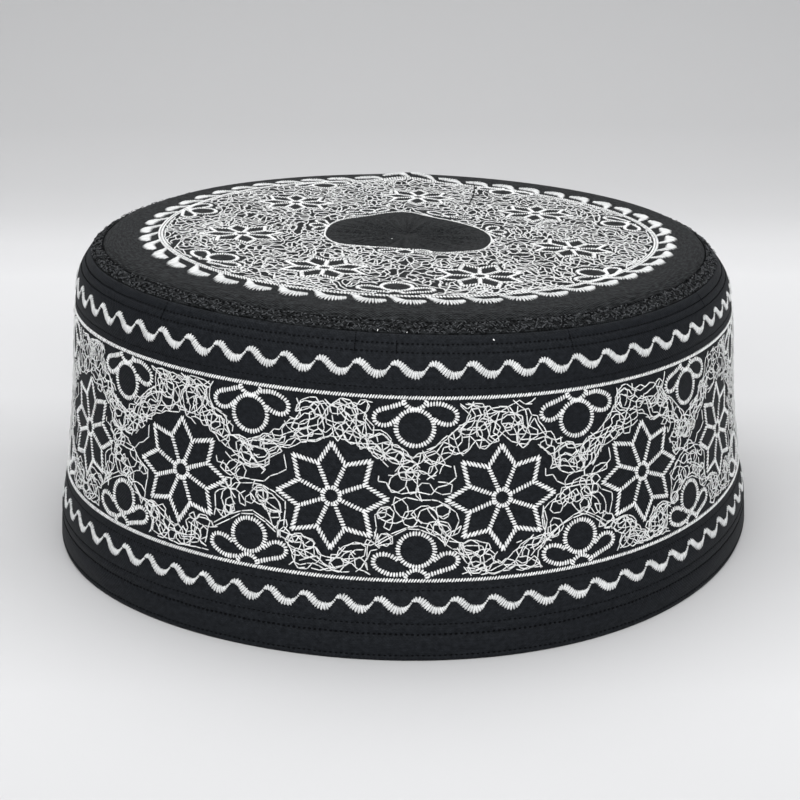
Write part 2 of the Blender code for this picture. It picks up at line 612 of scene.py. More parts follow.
def set_uv(thing: bpy.types.Object, name: str, at_corners: np.ndarray) -> None:
    """Give a mesh a UV map.

    Args:
        thing: The mesh object.
        name: The map's name.
        at_corners: The UV of each corner of its faces, one to a row.
    """
    layers = thing.data.uv_layers
    layer = layers.get(name) or layers.new(name=name)
    layer.data.foreach_set("uv", at_corners.astype(np.float32).ravel())


class Stroke(NamedTuple):
    """One satin line: its middle, whether it is closed, and how far its stitches run along it."""

    path: np.ndarray
    closed: bool
    slant: float


@dataclass(frozen=True)
class Star:
    """An eight-petalled star of satin lines round a small ring."""

    tip: float = 12.4
    valley: float = 8.1
    ring: float = 1.95
    petals: int = 8
    line: float = 1.3
    slant: float = 1.4
    ring_slant: float = 0.2
    spoke_slant: float = 0.35

    @property
    def step(self) -> float:
        """The angle from one petal to the next, in degrees."""
        return 360 / self.petals

    def strokes(self) -> list[Stroke]:
        """Return the star's satin lines, slanted on the petals along each petal's axis.

        Returns:
            The lines in the star's own frame.
        """
        strokes = [Stroke(circle(self.ring), True, self.ring_slant)]
        for k in range(self.petals):
            at_tip = k * self.step
            for way in (-1, 1):
                side = [polar(self.valley, at_tip + way * self.step / 2), polar(self.tip, at_tip)]
                strokes.append(Stroke(np.array(side), False, way * self.slant))
            at_valley = at_tip + self.step / 2
            spoke = [polar(self.ring, at_valley), polar(self.valley, at_valley)]
            strokes.append(Stroke(np.array(spoke), False, self.spoke_slant))
        return strokes

    def edge(self, degrees: np.ndarray) -> np.ndarray:
        """Return the radius of the star's outline at each angle.

        Args:
            degrees: Angles anticlockwise from the +x direction.

        Returns:
            The radius at each angle.
        """
        half = math.radians(self.step / 2)
        off = np.radians(np.abs((degrees + self.step / 2) % self.step - self.step / 2))
        across = self.tip * np.sin(off) + self.valley * np.sin(half - off)
        return self.tip * self.valley * math.sin(half) / across

    def push_out(self, points: np.ndarray, gap: float) -> np.ndarray:
        """Move points that are inside the star or too near it out along their radius.

        Args:
            points: Points in the star's own frame.
            gap: How far from the outline's middle they have to be.

        Returns:
            The moved points.
        """
        radius = np.hypot(points[:, 0], points[:, 1])
        least = self.edge(np.degrees(np.arctan2(points[:, 1], points[:, 0]))) + gap
        push = np.where(radius < least, least / np.maximum(radius, TINY), 1.0)
        return points * push[:, None]


@dataclass(frozen=True)
class HalfFlower:
    """Half a flower that hangs from a border at y = 0, with its bloom towards -y."""

    bloom_drop: float = 6.9
    bloom_radius: float = 4.2
    bud_radius: float = 2.65
    line: float = 1.35
    slant: float = 0.2

    BUD_ANGLES = range(190, 351, 20)
    LEFT_PETAL = (
        (-2.5, -1.2), (-5.3, -2.2), (-8.0, -3.1), (-9.0, -4.4),
        (-8.7, -5.8), (-7.2, -6.5), (-5.4, -6.1), (-3.6, -4.6),
    )
    RIGHT_PETAL = (
        (2.5, -1.5), (5.6, -1.3), (8.5, -2.6), (9.3, -4.0),
        (8.8, -5.6), (7.1, -6.1), (5.2, -5.6), (3.9, -4.7),
    )
    PETAL_OVALS = ((-5.7, -3.8, 3.4, 2.7), (6.0, -3.8, 3.4, 2.6), (0.0, -0.5, 3.0, 2.6))

    def strokes(self) -> list[Stroke]:
        """Return the flower's satin lines.

        Returns:
            The lines in the flower's own frame.
        """
        bloom = circle(self.bloom_radius) - (0, self.bloom_drop)
        lines = [np.array([polar(self.bud_radius, angle) for angle in self.BUD_ANGLES])]
        lines += [smooth_line(np.array(petal), LINE_STEPS) for petal in (self.LEFT_PETAL, self.RIGHT_PETAL)]
        return [Stroke(bloom, True, self.slant), *(Stroke(line, False, self.slant) for line in lines)]

    def ovals(self) -> list[tuple[float, float, float, float]]:
        """Return ovals over the bloom and the petals: x, y, half width and half height."""
        return [(0.0, -self.bloom_drop, self.bloom_radius, self.bloom_radius), *self.PETAL_OVALS]

    def push_out(self, points: np.ndarray, gap: float) -> np.ndarray:
        """Move points out of the flower's ovals.

        Args:
            points: Points in the flower's own frame.
            gap: How far from the ovals they have to be.

        Returns:
            The moved points.
        """
        points = points.copy()
        for x, y, half_width, half_height in self.ovals():
            size = np.array([half_width + gap, half_height + gap])
            from_middle = (points - (x, y)) / size
            radius = np.linalg.norm(from_middle, axis=1)
            inside = radius < 1
            nearness = np.maximum(radius[inside], TINY)[:, None]
            points[inside] = (x, y) + from_middle[inside] / nearness * size
        return points


class Motif(Protocol):
    """A figure of satin lines."""

    line: float

    def strokes(self) -> list[Stroke]:
        """Return the figure's satin lines."""

    def push_out(self, points: np.ndarray, gap: float) -> np.ndarray:
        """Return points moved clear of the figure by a gap."""


@dataclass(frozen=True)
class Placed:
    """A motif at its place in a face's pattern."""

    motif: Motif
    at: Placement

    SLANTED_PITCH = 1.28

    def stitch(self, work: Stitchery, pitch: float, thread: float) -> None:
        """Sew the motif's lines in satin.

        Args:
            work: The stitches to add to.
            pitch: The distance between stitches.
            thread: The width of one stitch.
        """
        for stroke in self.motif.strokes():
            path = self.at.apply(stroke.path)
            spread = self.SLANTED_PITCH if abs(stroke.slant) > 1 else 1.0
            width = self.motif.line * self.at.scale
            work.satin(path, SatinLine(width, pitch * spread, stroke.slant, thread), stroke.closed)

    def push_out(self, points: np.ndarray, gap: float) -> np.ndarray:
        """Return points of the face's pattern moved clear of the motif by a gap."""
        return self.at.apply(self.motif.push_out(self.at.undo(points), gap / self.at.scale))

    def shifted(self, by: float) -> "Placed":
        """Return the motif moved along x."""
        return replace(self, at=replace(self.at, x=self.at.x + by))


class WavePoint(NamedTuple):
    """A point along one wave: distance along the row, height over the row, and width there."""

    along: float
    over: float
    width: float


ROLLING_WAVE = (
    WavePoint(-0.95, -1.15, 0.75), WavePoint(-0.5, -0.9, 1.3), WavePoint(0.4, -0.7, 1.7),
    WavePoint(1.4, -1.2, 1.95), WavePoint(2.4, -2.2, 2.15), WavePoint(3.5, -3.0, 2.25),
    WavePoint(4.6, -3.3, 2.2), WavePoint(5.6, -3.05, 1.95), WavePoint(6.3, -2.6, 1.3),
    WavePoint(6.8, -2.1, 0.75), WavePoint(7.4, -1.4, 0.55),
)
SCALLOP = (
    WavePoint(0.0, 0.5, 1.0), WavePoint(1.0, 1.2, 1.9), WavePoint(2.0, 2.5, 2.9),
    WavePoint(3.0, 3.5, 3.5), WavePoint(4.3, 3.9, 3.8), WavePoint(5.7, 3.8, 3.6),
    WavePoint(6.9, 3.5, 3.0), WavePoint(7.9, 3.2, 2.0),
)


@dataclass(frozen=True)
class WaveRow:
    """A row of satin waves whose stitches fan out across each wave's own curve."""

    table: tuple[WavePoint, ...]
    count: int
    base: float
    turn: float
    spacing: float = 0.55
    thread: float = 0.56
    height: float = 0.26

    TABLE_PITCH = 8.4
    TABLE_STEPS = 6
    WIDTH_SPREAD = (0.9, 1.08)
    DRIFT = 0.03
    LIFTS = (0.02, 0.08)
    # Painted shade: the waves are sewn in the same silver thread as the rest, but given darker tones that
    # stand in for the shade on their wide satin stitches.
    PAINTED_SHADING_TONES = (0.1, 0.55)

    def stitch(self, work: Stitchery) -> None:
        """Sew the row right round a face, its first wave at a share of the turn from the front.

        Args:
            work: The stitches to add to.
        """
        girth = work.face.girth
        pitch = girth / self.count
        curve = smooth_line(np.array(self.table), self.TABLE_STEPS)
        curve[:, 0] *= pitch / self.TABLE_PITCH
        places, along = walk_evenly(curve, self.spacing)
        count = len(places)
        steps = np.linalg.norm(np.diff(curve[:, :2], axis=0), axis=1)
        run = np.concatenate([[0.0], np.cumsum(steps)])
        wide = np.interp((np.arange(count) + 0.5) / count * run[-1], run, curve[:, 2])
        for number in range(self.count):
            shift = (self.turn * girth + number * pitch, self.base)
            half = wide[:, None] / 2 * work.rng.uniform(*self.WIDTH_SPREAD, (count, 1)) * left_of(along)
            middle = places + shift + work.rng.uniform(-self.DRIFT, self.DRIFT, (count, 2))
            lift = work.rng.uniform(*self.LIFTS, count)
            work.lay(middle - half, middle + half, self.thread, self.height, lift, self.PAINTED_SHADING_TONES)


class Patch(NamedTuple):
    """A patch of scribble: middle, half sizes, tilt, thread, mean loop and share of chords."""

    x: float
    y: float
    half_width: float
    half_height: float
    tilt: float
    thread: float
    loop: float
    chords: float = 0.6

    def holds(self, x: np.ndarray | float, y: np.ndarray | float) -> np.ndarray | bool:
        """Return whether each place lies in the patch.

        Args:
            x: Each place's x.
            y: Each place's y.

        Returns:
            True for each place in the patch.
        """
        cos, sin = polar(1.0, self.tilt)
        dx, dy = x - self.x, y - self.y
        across = (dx * cos + dy * sin) / self.half_width
        up = (-dx * sin + dy * cos) / self.half_height
        return across * across + up * up <= 1

    def spot(self, across: float, up: float) -> tuple[float, float]:
        """Return the place that lies this far from the middle along the tilted axes."""
        cos, sin = polar(1.0, self.tilt)
        return self.x + across * cos - up * sin, self.y + across * sin + up * cos


class Ground:
    """The bare cloth that scribble may cover, as a grid of clear and blocked cells."""

    CELL = 0.2
    FULL = 1e6
    FIGURE_REACH = 20.0
    LEAST_ROOM = 0.45
    VISIT = 0.4

    def __init__(self, low: tuple[float, float], high: tuple[float, float], figures: list[Placed],
                 gap: float, block_size: tuple[int, int], wraps: bool = False) -> None:
        """Mark the cells that lie clear of every figure.

        Args:
            low: The lower left corner of the grid.
            high: The upper right corner of the grid.
            figures: The satin figures to keep clear of.
            gap: How far from their lines the thread stays.
            block_size: How many cells a coarse block has across and up.
            wraps: Whether the grid repeats along x.
        """
        self.low, self.wraps, self.block_size = np.array(low), wraps, np.array(block_size)
        self.counts = np.round((np.array(high) - low) / self.CELL).astype(int)
        spots = self.spots()
        clear = np.ones(len(spots), bool)
        for placed in figures:
            near = np.hypot(*(spots - (placed.at.x, placed.at.y)).T) < self.FIGURE_REACH
            moved = placed.push_out(spots[near], gap)
            clear[near] &= np.linalg.norm(moved - spots[near], axis=1) < TINY
        self.cells = clear.reshape(self.counts)
        self.worn = np.zeros(self.counts // self.block_size + 1)
        self.room: np.ndarray | None = None

    def spots(self) -> np.ndarray:
        """Return the middle of every cell, one to a row."""
        xs, ys = (low + (np.arange(count) + 0.5) * self.CELL for low, count in zip(self.low, self.counts))
        return np.stack(np.meshgrid(xs, ys, indexing="ij"), axis=-1).reshape(-1, 2)

    def block(self, test: Callable[[np.ndarray], np.ndarray]) -> None:
        """Block every cell whose middle the test returns true for."""
        self.cells &= ~test(self.spots()).reshape(self.counts)

    def find(self, x: float, y: float) -> tuple[int, int] | None:
        """Return the column and row of a place, or None where it is off the grid.

        Args:
            x: The place's x.
            y: The place's y.

        Returns:
            The column and row, or None.
        """
        column = int((x - self.low[0]) // self.CELL)
        row = int((y - self.low[1]) // self.CELL)
        if self.wraps:
            column %= int(self.counts[0])
        if 0 <= column < self.counts[0] and 0 <= row < self.counts[1]:
            return column, row
        return None

    def clear(self, x: float, y: float) -> bool:
        """Return whether a place is clear of the figures."""
        cell = self.find(x, y)
        return cell is not None and bool(self.cells[cell])

    def wear(self, x: float, y: float, thread: float = 0.0) -> float:
        """Add thread at a place and return how much lies there; a blocked place is full.

        Args:
            x: The place's x.
            y: The place's y.
            thread: The length of thread to add.

        Returns:
            The length of thread in its coarse block.
        """
        cell = self.find(x, y)
        if cell is None or not self.cells[cell]:
            return self.FULL
        coarse = cell[0] // self.block_size[0], cell[1] // self.block_size[1]
        self.worn[coarse] += thread
        return float(self.worn[coarse])

    def rooms(self) -> np.ndarray:
        """Return the share of clear cells in each coarse block.

        Returns:
            The share of clear cells, from 0 to 1.
        """
        across, up = self.worn.shape
        wide, tall = self.block_size
        padded = np.zeros((across * wide, up * tall))
        padded[:self.counts[0], :self.counts[1]] = self.cells
        return padded.reshape(across, wide, up, tall).mean(axis=(1, 3))

    def barest(self) -> tuple[float, float, float]:
        """Find the coarse block with the least thread and count it as visited.

        Returns:
            The x and y of its middle and how much thread lay there.
        """
        if self.room is None:
            self.room = self.rooms()
        worn = np.where(self.room > self.LEAST_ROOM, self.worn, self.FULL)
        block = np.unravel_index(int(np.argmin(worn)), worn.shape)
        self.worn[block] += self.VISIT
        x, y = self.low + (np.array(block) + 0.5) * self.block_size * self.CELL
        return float(x), float(y), float(worn[block])

    def renew(self) -> None:
        """Forget the thread laid so far."""
        self.worn[:] = 0.0


@dataclass
class Scribble:
    """Loose angular loops of fine thread, drawn as one wandering line."""

    rng: np.random.Generator
    ground: Ground
    step: float = 1.7
    thread: float = 0.34
    height: float = 0.18
    lifts: tuple[float, float] = (0.06, 0.4)
    stretch: tuple[float, float] = (1.0, 1.0)

    TURNS = (0.0, 0.5, -0.5, 1.0, -1.0, 1.6, -1.6, 2.3, -2.3, 3.1)
    STARTS = 60
    CHORD_RADIUS = 16.0
    LONGEST_CHORD = 7.0
    LONGEST_LOOP = 11.0
    LEAST_LOOP = 0.7
    LOOP_SPREAD = 1.4
    LOOP_SHARES = (0.45, 1.0)
    STEP_SHARE = 0.95
    STEP_SPREAD = (0.8, 1.2)
    WOBBLE = 0.1
    HOMING = 0.8
    PICKS = 9
    PICK_REACH = 0.95
    WAYS = 7
    SWERVE = 1.3
    MEANDER_SPREAD = (0.75, 1.25)
    LOOK_AHEAD = 1.8
    AHEAD_SHARE = 0.4
    MOST_AHEAD = 3.0
    WHIM = 0.4
    NO_WAY = 1e5
    MOST_LINES = 6000
    CORNER_REACH = 0.1

    def wander(self, patch: Patch) -> list[np.ndarray]:
        """Draw a patch's scribble as lines that loop, run straight and turn back.

        Args:
            patch: The patch to fill.

        Returns:
            The lines, each as corners one to a row.
        """
        rng, ground = self.rng, self.ground
        lines, done, tries = [], 0.0, 0
        while done < patch.thread and tries < self.STARTS:
            tries += 1
            x, y = self.least_worn(patch)
            if not ground.clear(x, y):
                continue
            heading, left, way, radius = rng.uniform(0, FULL_TURN), 0.0, 1, patch.loop
            corners = [(x, y)]
            while done < patch.thread:
                if left <= 0 and rng.random() < patch.chords:
                    goal = self.least_worn(patch)
                    dx, dy = goal[0] - x, goal[1] - y
                    way, radius = -way, self.CHORD_RADIUS
                    heading, left = math.atan2(dy, dx), min(math.hypot(dx, dy), self.LONGEST_CHORD)
                elif left <= 0:
                    radius = patch.loop * (self.LEAST_LOOP + self.LOOP_SPREAD * rng.random() ** 2)
                    left = min(radius * rng.uniform(*self.LOOP_SHARES) * FULL_TURN, self.LONGEST_LOOP)
                    aside = -radius * math.sin(heading), radius * math.cos(heading)
                    right = ground.wear(x - aside[0], y - aside[1])
                    way = -1 if right < ground.wear(x + aside[0], y + aside[1]) else 1
                step = min(self.step, self.STEP_SHARE * radius) * rng.uniform(*self.STEP_SPREAD)
                heading += way * step / radius + rng.normal(0, self.WOBBLE)
                if not patch.holds(x, y):
                    home = math.atan2(patch.y - y, patch.x - x)
                    off = (home - heading + math.pi) % FULL_TURN - math.pi
                    heading += max(-self.HOMING, min(self.HOMING, off))
                spot = self.next_spot(x, y, heading, step)
                if spot is None:
                    break
                ground.wear((x + spot[0]) / 2, (y + spot[1]) / 2, step)
                x, y, heading = spot
                corners.append((x, y))
                left -= step
                done += step
            if len(corners) > 1:
                lines.append(np.array(corners))
        return lines

    def least_worn(self, patch: Patch) -> tuple[float, float]:
        """Return the place with the least thread out of a few in the patch.

        Args:
            patch: The patch to fill.

        Returns:
            The place's x and y.
        """
        reach = self.PICK_REACH
        offsets = self.rng.uniform(-reach, reach, (self.PICKS, 2)) * (patch.half_width, patch.half_height)
        return min((patch.spot(*offset) for offset in offsets), key=lambda spot: self.ground.wear(*spot))

    def meander(self, x: float, y: float, length: float) -> np.ndarray:
        """Draw one line that keeps turning to the barest cloth ahead.

        Args:
            x: Where the line starts.
            y: Where the line starts, the other way.
            length: How long the line may be.

        Returns:
            Its corners, one to a row.
        """
        rng, ground = self.rng, self.ground
        heading = rng.uniform(0, FULL_TURN)
        corners = [(x, y)]
        while length > 0:
            step = self.step * rng.uniform(*self.MEANDER_SPREAD)
            best = (self.NO_WAY, 0.0, x, y)
            for way in heading + rng.uniform(-self.SWERVE, self.SWERVE, self.WAYS):
                dx = self.stretch[0] * step * math.cos(way)
                dy = self.stretch[1] * step * math.sin(way)
                if ground.clear(x + dx / 2, y + dy / 2):
                    beyond = ground.wear(x + self.LOOK_AHEAD * dx, y + self.LOOK_AHEAD * dy)
                    worn = ground.wear(x + dx, y + dy) + self.AHEAD_SHARE * min(beyond, self.MOST_AHEAD)
                    best = min(best, (worn + self.WHIM * rng.random(), way, x + dx, y + dy))
            if best[0] >= self.NO_WAY:
                break
            ground.wear((x + best[2]) / 2, (y + best[3]) / 2, step / 2)
            _, heading, x, y = best
            ground.wear(x, y, step / 2)
            corners.append((x, y))
            length -= step
        return np.array(corners)

    def fill(self, work: Stitchery, cover: float, line: float, shift: float = 0.0) -> None:
        """Sew lines over all of the clear ground until every block is covered.

        Args:
            work: The stitches to add to.
            cover: The length of thread that covers a block.
            line: How long one line may be.
            shift: How far along x the whole ground is moved.
        """
        for _ in range(self.MOST_LINES):
            x, y, worn = self.ground.barest()
            if worn > cover:
                break
            path = self.meander(x, y, line) if self.ground.clear(x, y) else ()
            if len(path) > 1:
                self.sew(work, path + (shift, 0.0))

    def next_spot(self, x: float, y: float, heading: float,
                  step: float) -> tuple[float, float, float] | None:
        """Find the next corner, turning aside where a figure is in the way.

        Args:
            x: Where the line is.
            y: Where the line is, the other way.
            heading: The way it wants to go.
            step: How far it goes.

        Returns:
            The next corner and the heading to it, or None if every way is blocked.
        """
        for turn in self.TURNS:
            ax, ay = math.cos(heading + turn) * step, math.sin(heading + turn) * step
            if self.ground.clear(x + ax, y + ay) and self.ground.clear(x + ax / 2, y + ay / 2):
                return x + ax, y + ay, heading + turn
        return None

    def sew(self, work: Stitchery, path: np.ndarray) -> None:
        """Sew a line in fine straight stitches.

        Args:
            work: The stitches to add to.
            path: The corners of the line.
        """
        starts, ends = path[:-1], path[1:]
        along = ends - starts
        reach = self.CORNER_REACH * along / np.linalg.norm(along, axis=1)[:, None]
        lift = self.rng.uniform(*self.lifts, len(starts))
        work.lay(starts - reach, ends + reach, self.thread, self.height, lift)


class Shading:
    """One new material, and the means to wire its nodes to its Principled shader."""

    Value = bpy.types.NodeSocket | float | tuple[float, ...]

    def __init__(self, name: str) -> None:
        """Start the material.

        Args:
            name: The material's name.
        """
        self.material = bpy.data.materials.new(name)
        self.material.use_nodes = True
        self.tree = self.material.node_tree
        self.shader = self.tree.nodes["Principled BSDF"]

    def wire(self, node: bpy.types.Node, inputs: dict[str | int, Value]) -> None:
        """Set a node's inputs.

        Args:
            node: The node.
            inputs: A value, or a socket to link, for each input by its name or number.
        """
        for key, value in inputs.items():
            if isinstance(value, bpy.types.NodeSocket):
                self.tree.links.new(value, node.inputs[key])
            else:
                node.inputs[key].default_value = value

    def add(self, kind: str, inputs: dict[str | int, Value], **settings: str) -> bpy.types.Node:
        """Add a node.

        Args:
            kind: The node's type.
            inputs: A value, or a socket to link, for each input by its name or number.
            settings: The node's own settings, made before its inputs.

        Returns:
            The new node.
        """
        node = self.tree.nodes.new("ShaderNode" + kind)
        for name, value in settings.items():
            setattr(node, name, value)
        self.wire(node, inputs)
        return node

    def maths(self, operation: str, *values: Value) -> bpy.types.NodeSocket:
        """Return the result of a Math node on sockets or plain numbers."""
        return self.add("Math", dict(enumerate(values)), operation=operation).outputs[0]

    def noise(self, place: bpy.types.NodeSocket, scale: float, detail: float) -> bpy.types.NodeSocket:
        """Return a noise read at a place."""
        return self.add("TexNoise", {"Vector": place, "Scale": scale, "Detail": detail}).outputs["Fac"]

    def cloth_map(self, name: str = "UVMap") -> bpy.types.NodeSocket:
        """Return the place in one of the mesh's UV maps."""
        return self.add("UVMap", {}, uv_map=name).outputs["UV"]

    def axes(self, place: bpy.types.NodeSocket) -> bpy.types.NodeOutputs:
        """Return the X, Y and Z of a place."""
        return self.add("SeparateXYZ", {"Vector": place}).outputs

    def ramp(self, share: bpy.types.NodeSocket,
             stops: list[tuple[float, tuple[float, float, float]]]) -> bpy.types.NodeSocket:
        """Return the colour of a ramp.

        Args:
            share: Where on the ramp, from 0 to 1.
            stops: The place and colour of each stop.

        Returns:
            The socket that holds the colour.
        """
        node = self.add("ValToRGB", {"Fac": share})
        elements = node.color_ramp.elements
        for number, (position, colour) in enumerate(stops):
            stop = elements[number] if number < 2 else elements.new(1.0)
            stop.position = position
            stop.color = (*colour, 1)
        return node.outputs["Color"]

    def twist(self, pitch: float) -> bpy.types.NodeSocket:
        """Return the height of a thread's plies, twisted once in each pitch of millimetres.

        Args:
            pitch: The length of one twist, in millimetres.

        Returns:
            The socket that holds the height.
        """
        axes = self.axes(self.cloth_map())
        along = self.maths("MULTIPLY", axes["X"], FULL_TURN / pitch)
        around = self.maths("MULTIPLY", axes["Y"], FULL_TURN)
        return self.maths("SINE", self.maths("ADD", along, around))

    def finish(self, height: bpy.types.NodeSocket, bump: float, relief: float,
               inputs: dict[str | int, Value]) -> bpy.types.Material:
        """Bump the shader and set its inputs.

        Args:
            height: The socket that holds the bump's height.
            bump: The bump's strength.
            relief: The height's scale in millimetres.
            inputs: A value, or a socket to link, for each of the shader's inputs.

        Returns:
            The finished material.
        """
        node = self.add("Bump", {"Strength": bump, "Distance": relief * MM, "Height": height})
        self.wire(self.shader, {"Normal": node.outputs["Normal"], **inputs})
        return self.material


@dataclass(frozen=True)
class SilverThread:
    """Twisted silver-white embroidery thread with a soft satin sheen."""

    name: str = "silver_thread"
    dark: tuple[float, float, float] = (0.56, 0.57, 0.57)
    light: tuple[float, float, float] = (0.96, 0.965, 0.96)
    roughness: float = 0.45
    sheen: float = 0.1
    twist: float = 0.3
    bump: float = 0.35
    relief: float = 0.05

    def make(self) -> bpy.types.Material:
        """Return the material, toned by each stitch and bumped by the thread's twist.

        Returns:
            The material.
        """
        shading = Shading(self.name)
        tone = shading.add("Attribute", {}, attribute_name="tone").outputs["Fac"]
        return shading.finish(shading.twist(self.twist), self.bump, self.relief, {
            "Base Color": shading.ramp(tone, [(0.0, self.dark), (1.0, self.light)]),
            "Roughness": self.roughness,
            "Sheen Weight": self.sheen,
        })


@dataclass(frozen=True)
class BlackThread:
    """Black quilting thread with the twist of its plies."""

    name: str = "black_quilting_thread"
    colour: tuple[float, float, float] = (0.0025, 0.0028, 0.0035)
    roughness: float = 0.6
    specular: float = 0.05
    twist: float = 0.3
    bump: float = 0.3
    relief: float = 0.04

    def make(self) -> bpy.types.Material:
        """Return the material with the thread's twist as a bump.

        Returns:
            The material.
        """
        shading = Shading(self.name)
        return shading.finish(shading.twist(self.twist), self.bump, self.relief, {
            "Base Color": (*self.colour, 1),
            "Roughness": self.roughness,
            "Specular IOR Level": self.specular,
        })


@dataclass(frozen=True)
class BlackCloth:
    """Closely woven black cotton, read from UV maps that hold centimetres of cloth."""

    name: str
    dark: tuple[float, float, float] = (0.0035, 0.0045, 0.0062)
    light: tuple[float, float, float] = (0.0130, 0.0150, 0.0185)
    middle_tone: float = 0.4
    roughness: float = 0.62
    specular: float = 0.10
    sheen: float = 0.01
    sheen_roughness: float = 0.5
    weave: float = 0.42
    slub_scale: float = 9.0
    slub_detail: float = 6.0
    streak_scales: tuple[float, float, float] = (3.0, 26.0, 1.0)
    streak_detail: float = 4.0
    streak_relief: float = 2.5
    bump: float = 0.5
    streaks: float = 1.0
    mottling: float = 2.0
    relief: float = 0.08

    def make(self) -> bpy.types.Material:
        """Return the material: a plain weave with mottling, streaks round the cap and a soft sheen.

        Returns:
            The material.
        """
        shading = Shading(self.name)
        maths = shading.maths
        cloth = shading.cloth_map()
        ribs = math.pi / (self.weave / 10)
        axes = shading.axes(cloth)
        over, under = (maths("SINE", maths("MULTIPLY", axes[axis], ribs)) for axis in ("X", "Y"))
        slub = shading.noise(cloth, self.slub_scale, self.slub_detail)
        rounds = {0: shading.cloth_map("Rounds"), 1: self.streak_scales}
        stretched = shading.add("VectorMath", rounds, operation="MULTIPLY").outputs["Vector"]
        streak = shading.noise(stretched, 1.0, self.streak_detail)
        mottle = maths("MULTIPLY_ADD", slub, self.mottling, self.middle_tone - self.mottling / 2)
        uneven = maths("MULTIPLY_ADD", streak, self.streaks, -self.streaks / 2)
        tones = {"A": (*self.dark, 1), "B": (*self.light, 1), "Factor": maths("ADD", mottle, uneven)}
        mix = shading.add("Mix", tones, data_type="RGBA")
        grain = maths("ADD", maths("MULTIPLY", over, under), slub)
        grain = maths("ADD", grain, maths("MULTIPLY", streak, self.streak_relief))
        return shading.finish(grain, self.bump, self.relief, {
            "Base Color": mix.outputs["Result"],
            "Roughness": self.roughness,
            "Specular IOR Level": self.specular,
            "Sheen Weight": self.sheen,
            "Sheen Roughness": self.sheen_roughness,
        })


class Dent(NamedTuple):
    """A stitched row that pulls the cloth in: its length up the cloth, depth and half width."""

    length: float
    depth: float
    half_width: float


HEM_ROWS = (
    Dent(1.3, 0.18, 0.5),
    Dent(6.3, 0.30, 0.7),
    Dent(8.8, 0.14, 0.5),
    Dent(16.4, 0.08, 0.5),
)
TOP_ROWS = (
    Dent(63.5, 0.07, 0.5),
    Dent(71.3, 0.20, 0.6),
    Dent(73.3, 0.22, 0.6),
)
SHOULDER_ROWS = (Dent(79.3, 0.38, 0.8),)
DENT_ROUNDS = (-1.6, -0.7, 0.0, 0.7, 1.6)
HALF_SEAM = 0.04
EDGE_START = 0.5
EDGE_TURN = ((0.12, 0.06), (0.0, 0.3))


def dented(length: np.ndarray, dents: tuple[Dent, ...]) -> np.ndarray:
    """Return how far the stitched rows pull the cloth in at each length."""
    pulls = [dent.depth * np.exp(-(((length - dent.length) / dent.half_width) ** 2)) for dent in dents]
    return np.sum(pulls, axis=0)


def round_lengths(start: float, end: float, step: float, dents: tuple[Dent, ...]) -> np.ndarray:
    """Choose where the rounds of a cloth lie.

    Args:
        start: The first round's length up the cloth.
        end: The last round's length.
        step: The widest gap between rounds.
        dents: The rows that need rounds of their own.

    Returns:
        The lengths in order, with closer rounds over each dent.
    """
    lengths = list(np.linspace(start, end, int(abs(end - start) / step) + 2))
    for dent in dents:
        clear = 2 * dent.half_width
        lengths = [at for at in lengths if abs(at - dent.length) > clear or at in (start, end)]
        lengths += [dent.length + share * dent.half_width for share in DENT_ROUNDS]
    low, high = min(start, end), max(start, end)
    lengths = sorted(at for at in lengths if low <= at <= high)
    return np.array(lengths if end > start else lengths[::-1])


class Round(NamedTuple):
    """One round of a cloth's section: its length up the outer line and its lift off it."""

    length: float
    lift: float


def outer_rounds(lengths: np.ndarray, rows: tuple[Dent, ...]) -> list[Round]:
    """Return the rounds of a cloth's outer face, pulled in along its stitched rows."""
    return [Round(at, -pull) for at, pull in zip(lengths, dented(lengths, rows))]


def seam_edge(edge: float, way: int) -> list[Round]:
    """Return the rounds that turn a cloth's edge in at the seam; way is where the cloth lies."""
    return [Round(edge + way * back, -sink) for back, sink in EDGE_TURN]


def draw_line(name: str, spots: np.ndarray) -> bpy.types.Object:
    """Draw a line of edges by extruding one vertex, and leave it selected in edit mode.

    Args:
        name: The new object's name.
        spots: The line's points in metres, one to a row.

    Returns:
        The new object.
    """
    bpy.ops.object.select_all(action="DESELECT")
    bpy.ops.mesh.primitive_plane_add(size=MM, location=spots[0])
    thing = bpy.context.object
    thing.name = name
    thing.data.name = name
    bpy.ops.object.mode_set(mode="EDIT")
    bpy.ops.mesh.select_all(action="SELECT")
    bpy.ops.mesh.merge(type="CENTER")
    for step in np.diff(spots, axis=0):
        bpy.ops.mesh.extrude_region_move(TRANSFORM_OT_translate={"value": tuple(step)})
    bpy.ops.mesh.select_all(action="SELECT")
    return thing


def leave_edit() -> None:
    """Leave edit mode and put the object's place in its mesh."""
    bpy.ops.object.mode_set(mode="OBJECT")
    bpy.ops.object.transform_apply(location=True, rotation=True, scale=True)


